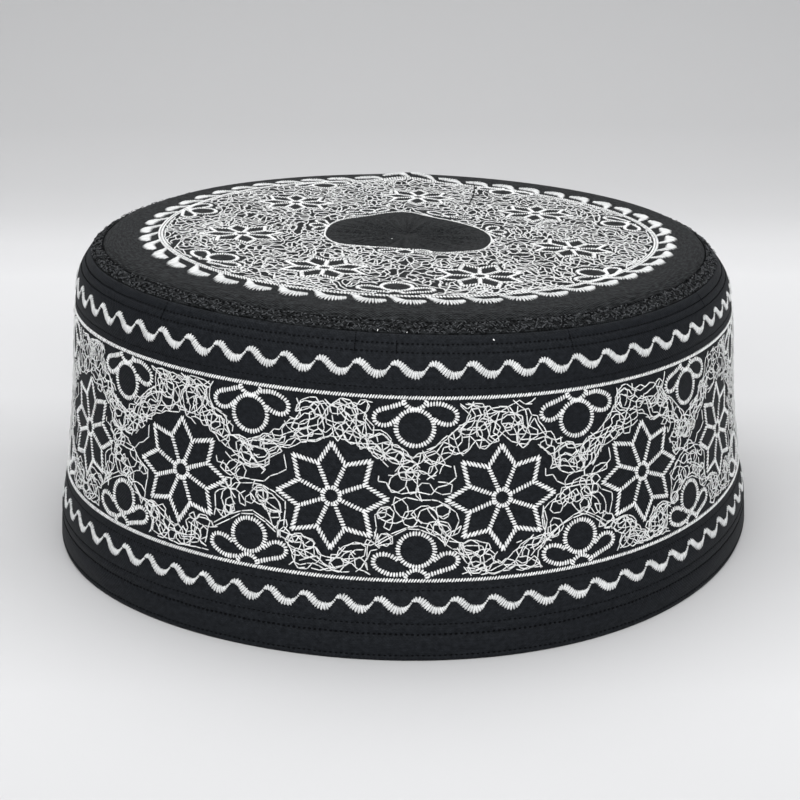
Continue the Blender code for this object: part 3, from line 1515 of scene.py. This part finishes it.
@dataclass
class TurnedCloth:
    """A cloth solid turned from its section, then fitted to the cap's oval, lean and folds."""

    form: CapForm
    name: str
    section: list[Round]
    closed: bool
    segments: int = 288

    WELD = 0.002 * MM

    def __post_init__(self) -> None:
        """Work out where each round of the section lies."""
        self.lengths, self.lifts = np.array(self.section).T
        self.radii, heights = self.form.section(self.lengths, self.lifts)
        self.heights = np.where(self.lengths <= 0, 0.0, heights)

    def turn(self) -> bpy.types.Object:
        """Draw the section and spin it into a round solid.

        Returns:
            The solid, still round and upright.
        """
        spots = np.stack([self.radii, np.zeros_like(self.radii), self.heights], axis=1) * MM
        thing = draw_line(self.name, spots)
        if self.closed:
            bpy.ops.mesh.edge_face_add()
            bpy.ops.mesh.delete(type="ONLY_FACE")
            bpy.ops.mesh.select_all(action="SELECT")
        bpy.ops.mesh.spin(steps=self.segments, angle=FULL_TURN, center=(0, 0, 0), axis=(0, 0, 1))
        bpy.ops.mesh.select_all(action="SELECT")
        bpy.ops.mesh.remove_doubles(threshold=self.WELD)
        bpy.ops.mesh.normals_make_consistent(inside=False)
        leave_edit()
        return thing

    def fit(self, thing: bpy.types.Object, fold: "Pleats | None") -> None:
        """Move each vertex from the round solid to its place on the cap, and map the cloth.

        Args:
            thing: The turned solid.
            fold: The pleats at the middle of the crown, if the cloth has them.
        """
        spots = read(thing.data.vertices, "co", float, 3).reshape(-1, 3) / MM
        off_axis = np.hypot(spots[:, 0], spots[:, 1])[:, None] - self.radii
        which = np.argmin(np.hypot(off_axis, spots[:, 2][:, None] - self.heights), axis=1)
        length = self.lengths[which]
        bearing = np.arctan2(spots[:, 0], -spots[:, 1])
        placed = self.form.place(bearing, length, self.lifts[which])
        placed[length <= 0, 2] = 0.0
        if fold:
            placed[:, 2] += fold.rise(placed[:, 0] / MM, placed[:, 1] / MM) * MM
        thing.data.vertices.foreach_set("co", placed.ravel())
        thing.data.update()
        self.map_cloth(thing, bearing, length)

    def map_cloth(self, thing: bpy.types.Object, bearing: np.ndarray, length: np.ndarray) -> None:
        """Unroll the cloth into a UV map in centimetres.

        Args:
            thing: The fitted cloth.
            bearing: Each vertex's bearing.
            length: Each vertex's length up the cloth.
        """
        girth = FULL_TURN * WALL_RADIUS
        corners = read(thing.data.loops, "vertex_index", np.int32)
        starts = read(thing.data.polygons, "loop_start", np.int32)
        u, v = (self.form.turn_at(bearing) * girth)[corners], length[corners]
        highest = np.maximum.reduceat(u, starts)
        totals = np.diff(np.append(starts, len(corners)))
        crosses = np.repeat(highest, totals) - u > girth / 2
        u = np.where(crosses, u + girth, u)
        set_uv(thing, "Rounds", np.stack([u, v], axis=1) / CENTIMETRE)
        if not self.closed:
            flat = self.form.full_length - v
            u, v = flat * np.sin(bearing[corners]), -flat * np.cos(bearing[corners])
        set_uv(thing, "UVMap", np.stack([u, v], axis=1) / CENTIMETRE)

    def make(self, material: bpy.types.Material, fold: "Pleats | None" = None) -> bpy.types.Object:
        """Turn, fit and dress the cloth.

        Args:
            material: The cloth's material.
            fold: The pleats at the middle of the crown, if the cloth has them.

        Returns:
            The finished cloth object.
        """
        thing = self.turn()
        self.fit(thing, fold)
        thing.data.materials.clear()
        thing.data.materials.append(material)
        thing.data.shade_smooth()
        return thing


@dataclass
class Pleats:
    """Low uneven pleats that run together at the gathered middle of the crown."""

    rng: np.random.Generator
    x: float = -1.0
    y: float = -4.5
    reach: float = 22.0
    height: float = 0.62
    counts: tuple[int, ...] = (23, 31, 47)
    gather: float = 1.2

    def __post_init__(self) -> None:
        """Choose each wave's phase."""
        self.phases = self.rng.uniform(0, FULL_TURN, len(self.counts))

    def rise(self, x: np.ndarray, y: np.ndarray) -> np.ndarray:
        """Return how far the pleats lift the cloth at each place seen from above.

        Args:
            x: How far right of the middle each place is.
            y: How far behind the middle each place is.

        Returns:
            The lift at each place.
        """
        radius = np.hypot(x - self.x, y - self.y)
        bearing = np.arctan2(y - self.y, x - self.x)
        waves = sum(np.cos(n * bearing + p) for n, p in zip(self.counts, self.phases))
        swell = np.sin(math.pi * np.minimum(radius / self.reach, 1.0)) ** self.gather
        return np.where(radius < self.reach, self.height * swell * waves / len(self.counts), 0.0)


@dataclass(frozen=True)
class RunningStitch:
    """Black running stitches sunk in a quilted row, wider where the row is deeper."""

    pitch: float = 1.15
    share: float = 0.55
    drift: float = 0.05
    least_width: float = 0.12
    width_for_depth: float = 1.4
    sink_for_depth: float = 0.8
    height: float = 0.2

    def sew(self, rows: tuple[Dent, ...], work: Stitchery) -> None:
        """Sew each row in its groove, right round the cap.

        Args:
            rows: The grooves.
            work: The stitches to add to.
        """
        girth = work.face.girth
        count = int(girth / self.pitch)
        arc = np.arange(count) * girth / count
        for row in rows:
            drift = work.rng.normal(0, self.drift, count)
            starts = np.stack([arc, row.length + drift], axis=1)
            ends = np.stack([arc + self.share * self.pitch, row.length + np.roll(drift, -1)], axis=1)
            width = self.least_width + self.width_for_depth * row.depth
            work.lay(starts, ends, width, self.height, -self.sink_for_depth * row.depth)


@dataclass
class Embroidered:
    """What the band and the crown share: a form, one run of random draws and figures to sew."""

    form: CapForm
    rng: np.random.Generator
    satin_pitch: float = 0.66
    satin_thread: float = 0.494

    def sewn(self, name: str, kind: ThreadKind, thread: bpy.types.Material,
             sew: Callable[[Stitchery], None], face: Face | None = None) -> bpy.types.Object:
        """Make one piece of stitching.

        Args:
            name: The piece's name.
            kind: How finely its stitches are modelled.
            thread: The thread's material.
            sew: What lays its stitches.
            face: What it is sewn on, if not the main face.

        Returns:
            The piece.
        """
        work = Stitchery(face or self.face, kind, self.rng)
        sew(work)
        return work.build(name, thread)

    def figures(self, motifs: list[Placed], work: Stitchery) -> None:
        """Sew motifs in satin stitch."""
        for motif in motifs:
            motif.stitch(work, self.satin_pitch, self.satin_thread)


@dataclass
class SideBand(Embroidered):
    """The upright wall: its cloth, its embroidery and its quilted rows."""

    units: int = 15
    star_arc: float = -17.55
    star_height: float = 37.75
    low_border: float = 18.7
    high_border: float = 61.5
    flower_arc: float = 18.4
    low_flower_shift: float = 0.3
    wall: float = 2.4
    hem_sink: float = 0.35
    hem_round: float = 0.8
    outer_step: float = 2.6
    inner_step: float = 5.0
    allowance: float = 2.0
    allowance_cloth: float = 0.34
    border_gap: float = 0.8
    scribble_gap: float = 1.2
    scribble_cover: float = 0.9
    scribble_line: float = 26.0
    cell_shift: float = -0.1
    cell_spread: float = 0.22

    BLOCKS = (7, 7)
    BORDER_LINE = SatinLine(width=1.0, pitch=0.62, slant=0.75, thread=0.4)
    WAVE_ROWS = (
        WaveRow(ROLLING_WAVE, count=67, base=69.75, turn=-0.2004),
        WaveRow(ROLLING_WAVE, count=70, base=15.2, turn=-0.1980),
    )
    GARLANDS = (
        Patch(-4.9, 18.2, 6.0, 6.4, 0, 30, 2.0),
        Patch(4.9, 18.2, 6.0, 6.4, 0, 30, 2.0),
        Patch(-9.6, 13.6, 6.8, 3.2, 38, 20, 2.0),
        Patch(9.6, 13.6, 6.8, 3.2, -38, 20, 2.0),
        Patch(14.8, 9.6, 5.6, 2.9, -30, 18, 2.0),
        Patch(-16.0, 9.6, 5.6, 2.9, 30, 18, 2.0),
        Patch(18.3, 6.8, 6.2, 3.0, 0, 22, 2.2),
        Patch(-6.2, -14.2, 5.8, 4.6, -26, 24, 2.0),
        Patch(6.2, -14.2, 5.8, 4.6, 26, 24, 2.0),
        Patch(0.0, -17.0, 6.0, 2.6, 0, 10, 2.0),
    )
    LOOPS = (
        Patch(18.5, 4.2, 7.6, 3.2, 0, 55, 2.4, 0.3),
        Patch(14.2, -3.2, 3.8, 3.6, 0, 58, 1.9, 0.25),
        Patch(22.4, -3.2, 4.4, 3.6, 0, 74, 1.9, 0.25),
        Patch(12.4, -9.2, 3.4, 2.8, 30, 34, 2.0),
        Patch(-12.2, -9.2, 3.4, 2.8, -30, 34, 2.0),
    )
    CELLS = (
        ((-8.2, 5.5), (-7.9, 4.2), (-6.2, 4.1), (-5.2, 2.7), (-3.2, 1.6), (0.3, 1.7), (3.8, 1.2),
         (5.1, 3.0), (7.3, 3.8), (9.1, 5.3), (8.8, 8.3)),
        ((-4.7, -1.5), (-3.7, -0.1), (-1.7, 0.7), (0.8, 0.3), (3.8, 0.3), (5.3, -0.2), (6.5, -1.2),
         (9.4, -2.7), (9.3, -4.7), (8.5, -8.2)),
        ((-5.3, -1.4), (-7.2, -2.3), (-8.6, -3.7), (-8.1, -6.7), (-8.6, -9.2)),
        ((-8.7, -10.7), (-4.7, -7.9), (-1.7, -6.4), (1.3, -6.0), (4.3, -7.4), (7.3, -9.7), (11.3, -10.3)),
        ((-8.3, -11.4), (-4.4, -8.5), (-1.5, -7.0), (1.5, -6.7), (4.6, -8.2), (7.0, -10.4)),
    )

    def __post_init__(self) -> None:
        """Lay out the face and the places of the stars and half flowers."""
        self.face = RoundFace(self.form, WALL_RADIUS)
        self.pitch = self.face.girth / self.units
        self.middles = [self.star_arc + k * self.pitch for k in range(self.units)]
        star = Star()
        upper = HalfFlower()
        lower = HalfFlower(bloom_drop=7.2, bloom_radius=4.0, bud_radius=2.5)
        self.stars = [Placed(star, Placement(arc, self.star_height)) for arc in self.middles]
        self.flowers = []
        for arc in self.middles:
            high = Placement(arc + self.flower_arc, self.high_border)
            low_arc = arc + self.flower_arc + self.low_flower_shift
            low = Placement(low_arc, self.low_border, degrees=180)
            self.flowers += [Placed(upper, high), Placed(lower, low)]

    def cloth(self) -> bpy.types.Object:
        """Return the band's cloth, folded at the hem, lined, and turned up behind the crown's edge.

        Returns:
            The cloth object.
        """
        rows = HEM_ROWS + TOP_ROWS
        edge = self.form.length_at(SEAM_RING) - HALF_SEAM
        lining, inner = -self.wall, -self.wall + self.allowance_cloth
        section = [Round(0.0, -self.wall + self.hem_sink), Round(0.0, -self.hem_sink)]
        outside = round_lengths(self.hem_round, edge - EDGE_START, self.outer_step, rows)
        section += outer_rounds(outside, rows)
        section += seam_edge(edge, -1)
        section += [Round(edge, inner), Round(edge + self.allowance, inner)]
        section += [Round(edge + self.allowance, lining)]
        section += [Round(at, lining) for at in round_lengths(edge, self.hem_round, self.inner_step, ())]
        cloth = TurnedCloth(self.form, "band_cloth", section, True)
        thing = cloth.make(BlackCloth("black_band_cloth").make())
        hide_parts("side_band")
        return thing

    def borders(self, work: Stitchery) -> None:
        """Sew the two border lines in narrow satin stitch."""
        for length in (self.low_border, self.high_border):
            work.satin(level_line(self.face.girth, length), self.BORDER_LINE)

    def waves(self, work: Stitchery) -> None:
        """Sew the rows of rolling waves above and below the borders."""
        for row in self.WAVE_ROWS:
            row.stitch(work)

    def scribble(self, work: Stitchery) -> None:
        """Sew the scribble between the figures: dense garlands, loose loops and star cells.

        Args:
            work: The stitches to add to.
        """
        low = (self.star_arc - self.pitch / 2, self.low_border + self.border_gap)
        high = (self.star_arc + self.pitch / 2, self.high_border - self.border_gap)
        around = [placed.shifted(turns * self.pitch) for placed in (self.stars[0], *self.flowers[:2])
                  for turns in (-1, 0, 1)]
        loose, dense = (
            Scribble(self.rng, Ground(low, high, around, self.scribble_gap, self.BLOCKS, True))
            for _ in range(2)
        )
        dense.ground.block(self.off_garlands)
        for arc in self.middles:
            dense.ground.renew()
            loose.ground.renew()
            dense.fill(work, self.scribble_cover, self.scribble_line, arc - self.middles[0])
            for patch in self.GARLANDS + self.LOOPS:
                for path in loose.wander(self.laid(patch, arc)):
                    loose.sew(work, path)
            for cell in self.CELLS:
                path = np.array(cell) + (arc + self.flower_arc + self.cell_shift, self.star_height)
                loose.sew(work, path + self.rng.normal(0, self.cell_spread, path.shape))

    def laid(self, patch: Patch, arc: float) -> Patch:
        """Return a patch of the table moved to the unit at an arc."""
        return patch._replace(x=patch.x + arc, y=patch.y + self.star_height)

    def off_garlands(self, points: np.ndarray) -> np.ndarray:
        """Return which points of the first unit lie outside its garlands of scribble.

        Args:
            points: Points of the pattern, one to a row.

        Returns:
            True for each point outside the garlands.
        """
        inside = np.zeros(len(points), bool)
        for patch in self.GARLANDS:
            for side in (-1, 0, 1):
                inside |= self.laid(patch, self.star_arc + side * self.pitch).holds(*points.T)
        return ~inside

    def build(self, silver: bpy.types.Material, black: bpy.types.Material) -> list[bpy.types.Object]:
        """Build every piece of the band.

        Args:
            silver: The embroidery thread's material.
            black: The quilting thread's material.

        Returns:
            The pieces.
        """
        satin, fine = ThreadKind.SATIN, ThreadKind.FINE
        quilting = partial(RunningStitch().sew, HEM_ROWS + TOP_ROWS)
        return [
            self.cloth(),
            self.sewn("band_stars", satin, silver, partial(self.figures, self.stars)),
            self.sewn("band_half_flowers", satin, silver, partial(self.figures, self.flowers)),
            self.sewn("band_borders", satin, silver, self.borders),
            self.sewn("band_waves", satin, silver, self.waves),
            self.sewn("band_scribble", fine, silver, self.scribble),
            self.sewn("band_quilting", fine, black, quilting),
        ]


class Spot(NamedTuple):
    """A place on the crown: bearing from the front in degrees and distance from the middle."""

    bearing: float
    radius: float

    def placement(self, scale: float = 1.0) -> Placement:
        """Return the placement of a motif here, with its +y side turned outwards.

        Args:
            scale: The motif's scale.

        Returns:
            The placement.
        """
        turn = math.radians(self.bearing)
        x, y = self.radius * math.sin(turn), -self.radius * math.cos(turn)
        return Placement(x, y, self.bearing + 180, scale)


@dataclass
class CrownTop(Embroidered):
    """The flat top: its cloth, gathered middle and embroidery."""

    wall: float = 2.0
    quilted: tuple[float, float] = (75.9, 79.2)
    border: float = 65.55
    three_sided: float = 0.0129
    shoulder_reach: float = 60.0
    shoulder_step: float = 1.6
    pleat_reach: float = 24.0
    satin_pitch: float = 0.62
    flower_scale: float = 0.95
    bud_scale: float = 0.72
    scribble_gap: float = 1.15
    scribble_cover: float = 1.2
    scribble_line: float = 30.0
    border_gap: float = 1.0

    BLOCKS = (7, 10)
    RIM_LINES = (-0.5, 0.2)
    RIM_LINE = SatinLine(width=0.62, pitch=0.8, slant=0.75, thread=0.5, height=0.24)
    GATHERED_LINE = SatinLine(width=0.5, pitch=0.6, slant=0.6, thread=0.36)
    SCALLOPS = WaveRow(SCALLOP, count=49, base=0.0, turn=3.2 / 360, spacing=0.58, height=0.34)
    # Partly painted sheen: the crown's light tone, over twice the band's, stands in for the sheen that the
    # crown and shoulder catch at a low angle; its mottling and streaks are the cloth's own uneven tone.
    CLOTH_WITH_PAINTED_SHEEN = BlackCloth(
        "black_crown_cloth", dark=(0.0020, 0.0026, 0.0032), light=(0.0325, 0.0352, 0.0375),
        bump=1.0, streaks=3.0, mottling=2.4, relief=0.16,
    )
    # Painted highlight: the glint stitches are black quilting thread lightened about twenty times in colour
    # to stand in for the glints of light on it; their lower roughness and higher specular are the thread's
    # real gloss.
    PAINTED_GLINT_THREAD = BlackThread("black_thread_painted_glints", (0.060, 0.064, 0.070), 0.4, 0.5)
    STARS = (
        Spot(-132.0, 43.6), Spot(176.0, 43.1), Spot(125.5, 44.8), Spot(71.0, 44.4),
        Spot(20.0, 48.4), Spot(-25.8, 47.0), Spot(-75.4, 45.0),
    )
    FLOWERS = (
        Spot(-50.0, 65.2), Spot(-3.1, 63.6), Spot(48.5, 65.0), Spot(105.4, 66.0),
        Spot(151.8, 67.0), Spot(-155.0, 66.5), Spot(-103.1, 64.6),
    )
    BUDS = (
        Spot(-94.0, 21.0), Spot(-3.0, 20.5), Spot(93.0, 20.5), Spot(150.0, 20.0), Spot(-152.0, 21.0),
    )
    GATHERED_EDGE = (
        (-21.3, 3.0), (-18.0, 10.0), (-11.0, 16.0), (-5.0, 21.0), (0.5, 21.8), (5.0, 18.0),
        (13.0, 12.0), (18.8, 5.0), (21.5, -3.0), (21.3, -12.0), (18.5, -19.8), (13.0, -23.0),
        (7.0, -24.0), (0.5, -22.6), (-4.0, -20.6), (-10.0, -20.0), (-18.0, -18.3), (-21.6, -12.0),
        (-22.2, -5.0),
    )
    SEAM_MARKS = (
        (-12.8, 71.0, 75.6), (-3.3, 71.0, 74.0), (38.5, 70.5, 75.6),
        (-64.0, 71.0, 75.6), (92.0, 71.0, 75.6),
    )
    MARK_STEP = 0.5
    MARK_RUN = (0.05, 0.45)
    DARK_STITCHES = 1700
    PAINTED_GLINT_STITCHES = 2300
    MOST_TILT = 1.2
    HALF_LENGTHS = (0.22, 0.55)
    FUZZ = 0.35
    GROUND_MARGIN = 3.0
    SPECKS = np.array([(-4.5, -10.0), (-7.1, -81.6), (-0.9, -82.0), (17.6, -81.5)])
    SPECK_REACH = 0.22
    JOIN = ((21.0, 63.0), (20.4, 56.0), (19.8, 48.0), (18.6, 40.0), (18.0, 36.0))

    def __post_init__(self) -> None:
        """Lay out the faces and the figures."""
        self.face = CrownFace(self.form)
        self.rim_face = RimFace(self.form, self.border, self.three_sided)
        self.shoulder_face = RoundFace(self.form, WALL_RADIUS)
        star = Star(tip=10.6, valley=6.9, ring=1.8, line=1.4)
        flower = HalfFlower(bloom_drop=6.4, bloom_radius=3.8, bud_radius=2.2)
        self.stars = [Placed(star, spot.placement()) for spot in self.STARS]
        self.flowers = [Placed(flower, spot.placement(self.flower_scale)) for spot in self.FLOWERS]
        inner = HalfFlower(bloom_drop=5.0, bloom_radius=2.9, bud_radius=1.6)
        for spot in self.BUDS:
            at = spot.placement(self.bud_scale)
            self.flowers.append(Placed(inner, replace(at, degrees=at.degrees + 180)))
        self.edge = smooth_line(np.array(self.GATHERED_EDGE), 6, closed=True)

    def cloth(self) -> bpy.types.Object:
        """Return the crown's cloth, from the seam over the shoulder to the gathered middle.

        Returns:
            The cloth object.
        """
        seam = self.form.length_at(SEAM_RING) + HALF_SEAM
        middle = self.form.full_length
        flat, pleats = middle - self.shoulder_reach, middle - self.pleat_reach
        shoulder = round_lengths(seam + EDGE_START, flat, self.shoulder_step, SHOULDER_ROWS)
        outside = [*shoulder, *np.linspace(flat, pleats, 9)[1:], *np.linspace(pleats, middle, 22)[1:]]
        inside = [*np.linspace(seam, flat, 8), *np.linspace(flat, middle, 16)[1:]]
        section = outer_rounds(np.array(outside[::-1]), SHOULDER_ROWS) + seam_edge(seam, 1)
        section += [Round(at, -self.wall) for at in inside]
        cloth = TurnedCloth(self.form, "crown_cloth", section, False)
        thing = cloth.make(self.CLOTH_WITH_PAINTED_SHEEN.make(), Pleats(self.rng))
        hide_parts("crown_top")
        return thing

    def rim(self, work: Stitchery) -> None:
        """Sew the double border line and the row of scallops round it.

        Args:
            work: The stitches to add to.
        """
        for out in self.RIM_LINES:
            work.satin(level_line(self.rim_face.girth, out), self.RIM_LINE)
        self.SCALLOPS.stitch(work)

    def in_gathers(self, points: np.ndarray) -> np.ndarray:
        """Return which points lie inside the bare gathered middle.

        Args:
            points: Points of the pattern, one to a row.

        Returns:
            True for each point inside the line.
        """
        x, y = points[:, 0], points[:, 1]
        inside = np.zeros(len(points), bool)
        for (ax, ay), (bx, by) in zip(self.edge, np.roll(self.edge, -1, axis=0)):
            crosses = (ay > y) != (by > y)
            at = ax + (y - ay) / (by - ay if by != ay else TINY) * (bx - ax)
            inside ^= crosses & (x < at)
        return inside

    def off_limits(self, points: np.ndarray) -> np.ndarray:
        """Return which points lie in the gathered middle or past the border line.

        Args:
            points: Points of the pattern, one to a row.

        Returns:
            True for each point that stays bare.
        """
        bearing = np.arctan2(points[:, 0], -points[:, 1])
        share = self.form.plan_share(bearing) - self.three_sided * np.sin(3 * bearing)
        radius = np.hypot(points[:, 0], points[:, 1]) / share
        return self.in_gathers(points) | (radius > self.border - self.border_gap)

    def scribble(self, work: Stitchery) -> None:
        """Sew the dense scribble that fills the crown between the figures.

        Args:
            work: The stitches to add to.
        """
        figures = self.stars + self.flowers
        reach = self.border + self.GROUND_MARGIN
        ground = Ground((-reach, -reach), (reach, reach), figures, self.scribble_gap, self.BLOCKS)
        ground.block(self.off_limits)
        pen = Scribble(self.rng, ground, step=1.5, thread=0.5, lifts=(0.02, 0.2), stretch=(0.85, 1.35))
        pen.fill(work, self.scribble_cover, self.scribble_line)

    def quilting(self, work: Stitchery) -> None:
        """Sew the black running row of the shoulder, half of its quilting and its seam marks.

        Args:
            work: The stitches to add to.
        """
        RunningStitch().sew(SHOULDER_ROWS, work)
        self.scatter(self.DARK_STITCHES, work)
        for arc, low, high in self.SEAM_MARKS:
            height = np.arange(low, high, self.MARK_STEP)
            start = np.column_stack([np.full_like(height, arc), height])
            work.lay(start, start + self.MARK_RUN, width=0.26, height=0.2, lift=-0.08)

    def scatter(self, count: int, work: Stitchery) -> None:
        """Sew short crossing stitches all along the quilted strip of the shoulder.

        Args:
            count: How many stitches there are.
            work: The stitches to add to.
        """
        rng = self.rng
        arc = (np.arange(count) + rng.uniform(0, 1, count)) / count * work.face.girth
        middle = np.column_stack([arc, rng.uniform(*self.quilted, count)])
        turn = rng.uniform(-self.MOST_TILT, self.MOST_TILT, count)
        way = rng.uniform(*self.HALF_LENGTHS, count)[:, None] * compass(turn)
        lift = rng.uniform(-0.08, 0.1, count) + self.FUZZ * rng.random(count) ** 3
        work.lay(middle - way, middle + way, width=0.28, height=0.24, lift=lift)

    def gathered_line(self, work: Stitchery) -> None:
        """Sew the thin line of stitches round the bare gathered middle."""
        work.satin(self.edge, self.GATHERED_LINE, closed=True)

    def join(self, work: Stitchery) -> None:
        """Sew the dark join across the embroidery at the back of the crown."""
        path = smooth_line(np.array(self.JOIN), 8)
        work.lay(path[:-1], path[1:], width=0.4, height=0.2, lift=0.2)

    def specks(self, work: Stitchery) -> None:
        """Sew the few stray ends of silver thread on the black cloth."""
        way = self.SPECK_REACH * compass(self.rng.uniform(0, FULL_TURN, len(self.SPECKS)))
        work.lay(self.SPECKS - way, self.SPECKS + way, width=0.3, height=0.2, lift=0.12)

    def build(self, silver: bpy.types.Material, black: bpy.types.Material) -> list[bpy.types.Object]:
        """Build every piece of the crown.

        Args:
            silver: The embroidery thread's material.
            black: The quilting thread's material.

        Returns:
            The pieces.
        """
        satin, fine = ThreadKind.SATIN, ThreadKind.FINE
        # The glint stitches carry painted highlights in their lightened black thread.
        glint_thread, glints = self.PAINTED_GLINT_THREAD.make(), partial(self.scatter, self.PAINTED_GLINT_STITCHES)
        figures = partial(self.figures, self.stars + self.flowers)
        return [
            self.cloth(),
            self.sewn("crown_figures", satin, silver, figures),
            self.sewn("crown_rim", satin, silver, self.rim, self.rim_face),
            self.sewn("crown_scribble", fine, silver, self.scribble),
            self.sewn("crown_gathered_edge", satin, silver, self.gathered_line),
            self.sewn("crown_quilting", fine, black, self.quilting, self.shoulder_face),
            self.sewn("crown_quilting_glints", fine, glint_thread, glints, self.shoulder_face),
            self.sewn("crown_join", fine, black, self.join),
            self.sewn("crown_stray_ends", fine, silver, self.specks),
        ]


class Softbox(NamedTuple):
    """A square soft light that faces the cap: its name, place and side in metres, and power."""

    name: str
    place: tuple[float, float, float]
    side: float
    watts: float


@dataclass(frozen=True)
class Studio:
    """The pale sweep that the cap stands on, its soft lights and the camera."""

    eye: tuple[float, float, float] = (-2.385, -358.710, 149.345)
    pitch: float = 71.4315
    lens: float = 60.806
    sensor: float = 36.0
    floor_back: float = 290.0
    floor_front: float = -900.0
    bend: float = 350.0
    wall_top: float = 900.0
    half_width: float = 1400.0
    paper_roughness: float = 0.7
    blueness: float = 1.012
    sky: tuple[float, float, float] = (0.9, 0.95, 1.0)
    sky_strength: float = 0.1

    SOFTBOXES = (
        Softbox("overhead_softbox", (0.0, 0.3, 1.0), 1.5, 19.0),
        Softbox("front_left_softbox", (-0.5, -1.05, 0.55), 0.7, 7.1),
        Softbox("front_right_softbox", (0.5, -1.05, 0.55), 0.7, 7.1),
    )
    CAP_MIDDLE = (0.0, 0.0, 0.04)
    # Painted light and shade on the paper, by mm along the floor and up the bend: a brighter floor behind
    # the cap, a darker painted shadow band where the cap stands, and darker towards the top of the wall.
    PAINTED_SHADING_TONES = (
        (-150.0, 0.61), (-108.0, 0.655), (-65.0, 0.605), (-35.0, 0.56), (30.0, 0.55), (60.0, 0.594),
        (90.0, 0.66), (169.0, 0.68), (273.0, 0.73), (335.0, 0.666), (385.0, 0.56), (429.0, 0.50),
        (513.0, 0.437), (662.0, 0.403),
    )

    def sweep(self) -> None:
        """Draw the side of the floor and the backdrop, and pull it into one sheet with a bend."""
        turns = np.radians(np.linspace(0, 90, 25))
        back = self.floor_back + self.bend
        ys = [self.floor_front, *(self.floor_back + self.bend * np.sin(turns)), back]
        zs = [0.0, *(self.bend - self.bend * np.cos(turns)), self.wall_top]
        side = np.column_stack([np.full(len(ys), self.half_width), ys, zs])
        thing = draw_line("pale_sweep", side * MM)
        across = (-2 * self.half_width * MM, 0, 0)
        bpy.ops.mesh.extrude_region_move(TRANSFORM_OT_translate={"value": across})
        leave_edit()
        thing.data.materials.append(self.paper())
        thing.data.shade_smooth()

    def paper(self) -> bpy.types.Material:
        """Return the sweep's matt paper, whose tone changes along the floor and up the wall as painted
        light and shade: a painted pool of light on the floor behind the cap, a painted shadow beside the
        cap and painted shade towards the top of the wall.

        Returns:
            The material.
        """
        shading = Shading("pale_paper")
        place = shading.add("TexCoord", {}).outputs["Object"]
        axes = shading.axes(place)
        first, last = self.PAINTED_SHADING_TONES[0][0], self.PAINTED_SHADING_TONES[-1][0]
        scale = 1 / (last - first)
        run = shading.maths("ADD", axes["Y"], axes["Z"])
        share = shading.maths("MULTIPLY_ADD", run, scale / MM, -first * scale)
        tint = np.array((1.0, 1.0, self.blueness))
        stops = [((along - first) * scale, tone * tint) for along, tone in self.PAINTED_SHADING_TONES]
        colour = shading.ramp(share, stops)
        shading.wire(shading.shader, {"Base Color": colour, "Roughness": self.paper_roughness})
        return shading.material

    def hang(self, box: Softbox) -> None:
        """Hang one of the soft lights, turned to the middle of the cap.

        Args:
            box: The light.
        """
        data = bpy.data.lights.new(box.name, "AREA")
        data.size = box.side
        data.energy = box.watts
        light = bpy.data.objects.new(box.name, data)
        light.location = box.place
        x, y, z = np.subtract(self.CAP_MIDDLE, box.place)
        light.rotation_euler = (math.atan2(math.hypot(x, y), -z), 0, math.atan2(-x, y))
        bpy.context.scene.collection.objects.link(light)

    def set_camera(self) -> None:
        """Set up the camera at the photograph's place."""
        data = bpy.data.cameras.new("camera")
        data.lens = self.lens
        data.sensor_width = self.sensor
        data.clip_start = 0.01
        data.clip_end = 20
        camera = bpy.data.objects.new("camera", data)
        camera.location = [value * MM for value in self.eye]
        camera.rotation_euler = (math.radians(self.pitch), 0, 0)
        bpy.context.scene.collection.objects.link(camera)
        bpy.context.scene.camera = camera

    def build(self) -> None:
        """Set up the sweep, the lights, the sky and the camera."""
        self.sweep()
        for box in self.SOFTBOXES:
            self.hang(box)
        world = bpy.data.worlds.new("soft_room")
        world.use_nodes = True
        sky = world.node_tree.nodes["Background"].inputs
        sky["Color"].default_value = (*self.sky, 1)
        sky["Strength"].default_value = self.sky_strength
        bpy.context.scene.world = world
        bpy.context.scene.view_settings.view_transform = "Standard"
        self.set_camera()


def main() -> None:
    """Build the studio and the cap, and note the sizes."""
    logging.basicConfig(level=logging.INFO, format="%(name)s: %(message)s")
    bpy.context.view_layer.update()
    Studio().build()
    form = CapForm(OUTER_CLOTH, FOLDS)
    silver = SilverThread().make()
    black = BlackThread().make()
    rng = np.random.default_rng(SEED)
    pieces = []
    for part in (SideBand(form, rng), CrownTop(form, rng)):
        pieces += part.build(silver, black)
    for piece in pieces:
        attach(piece, "root")
        piece.data.calc_loop_triangles()
        LOG.info("%s: %d triangles", piece.name, len(piece.data.loop_triangles))


if __name__ == "__main__":
    main()
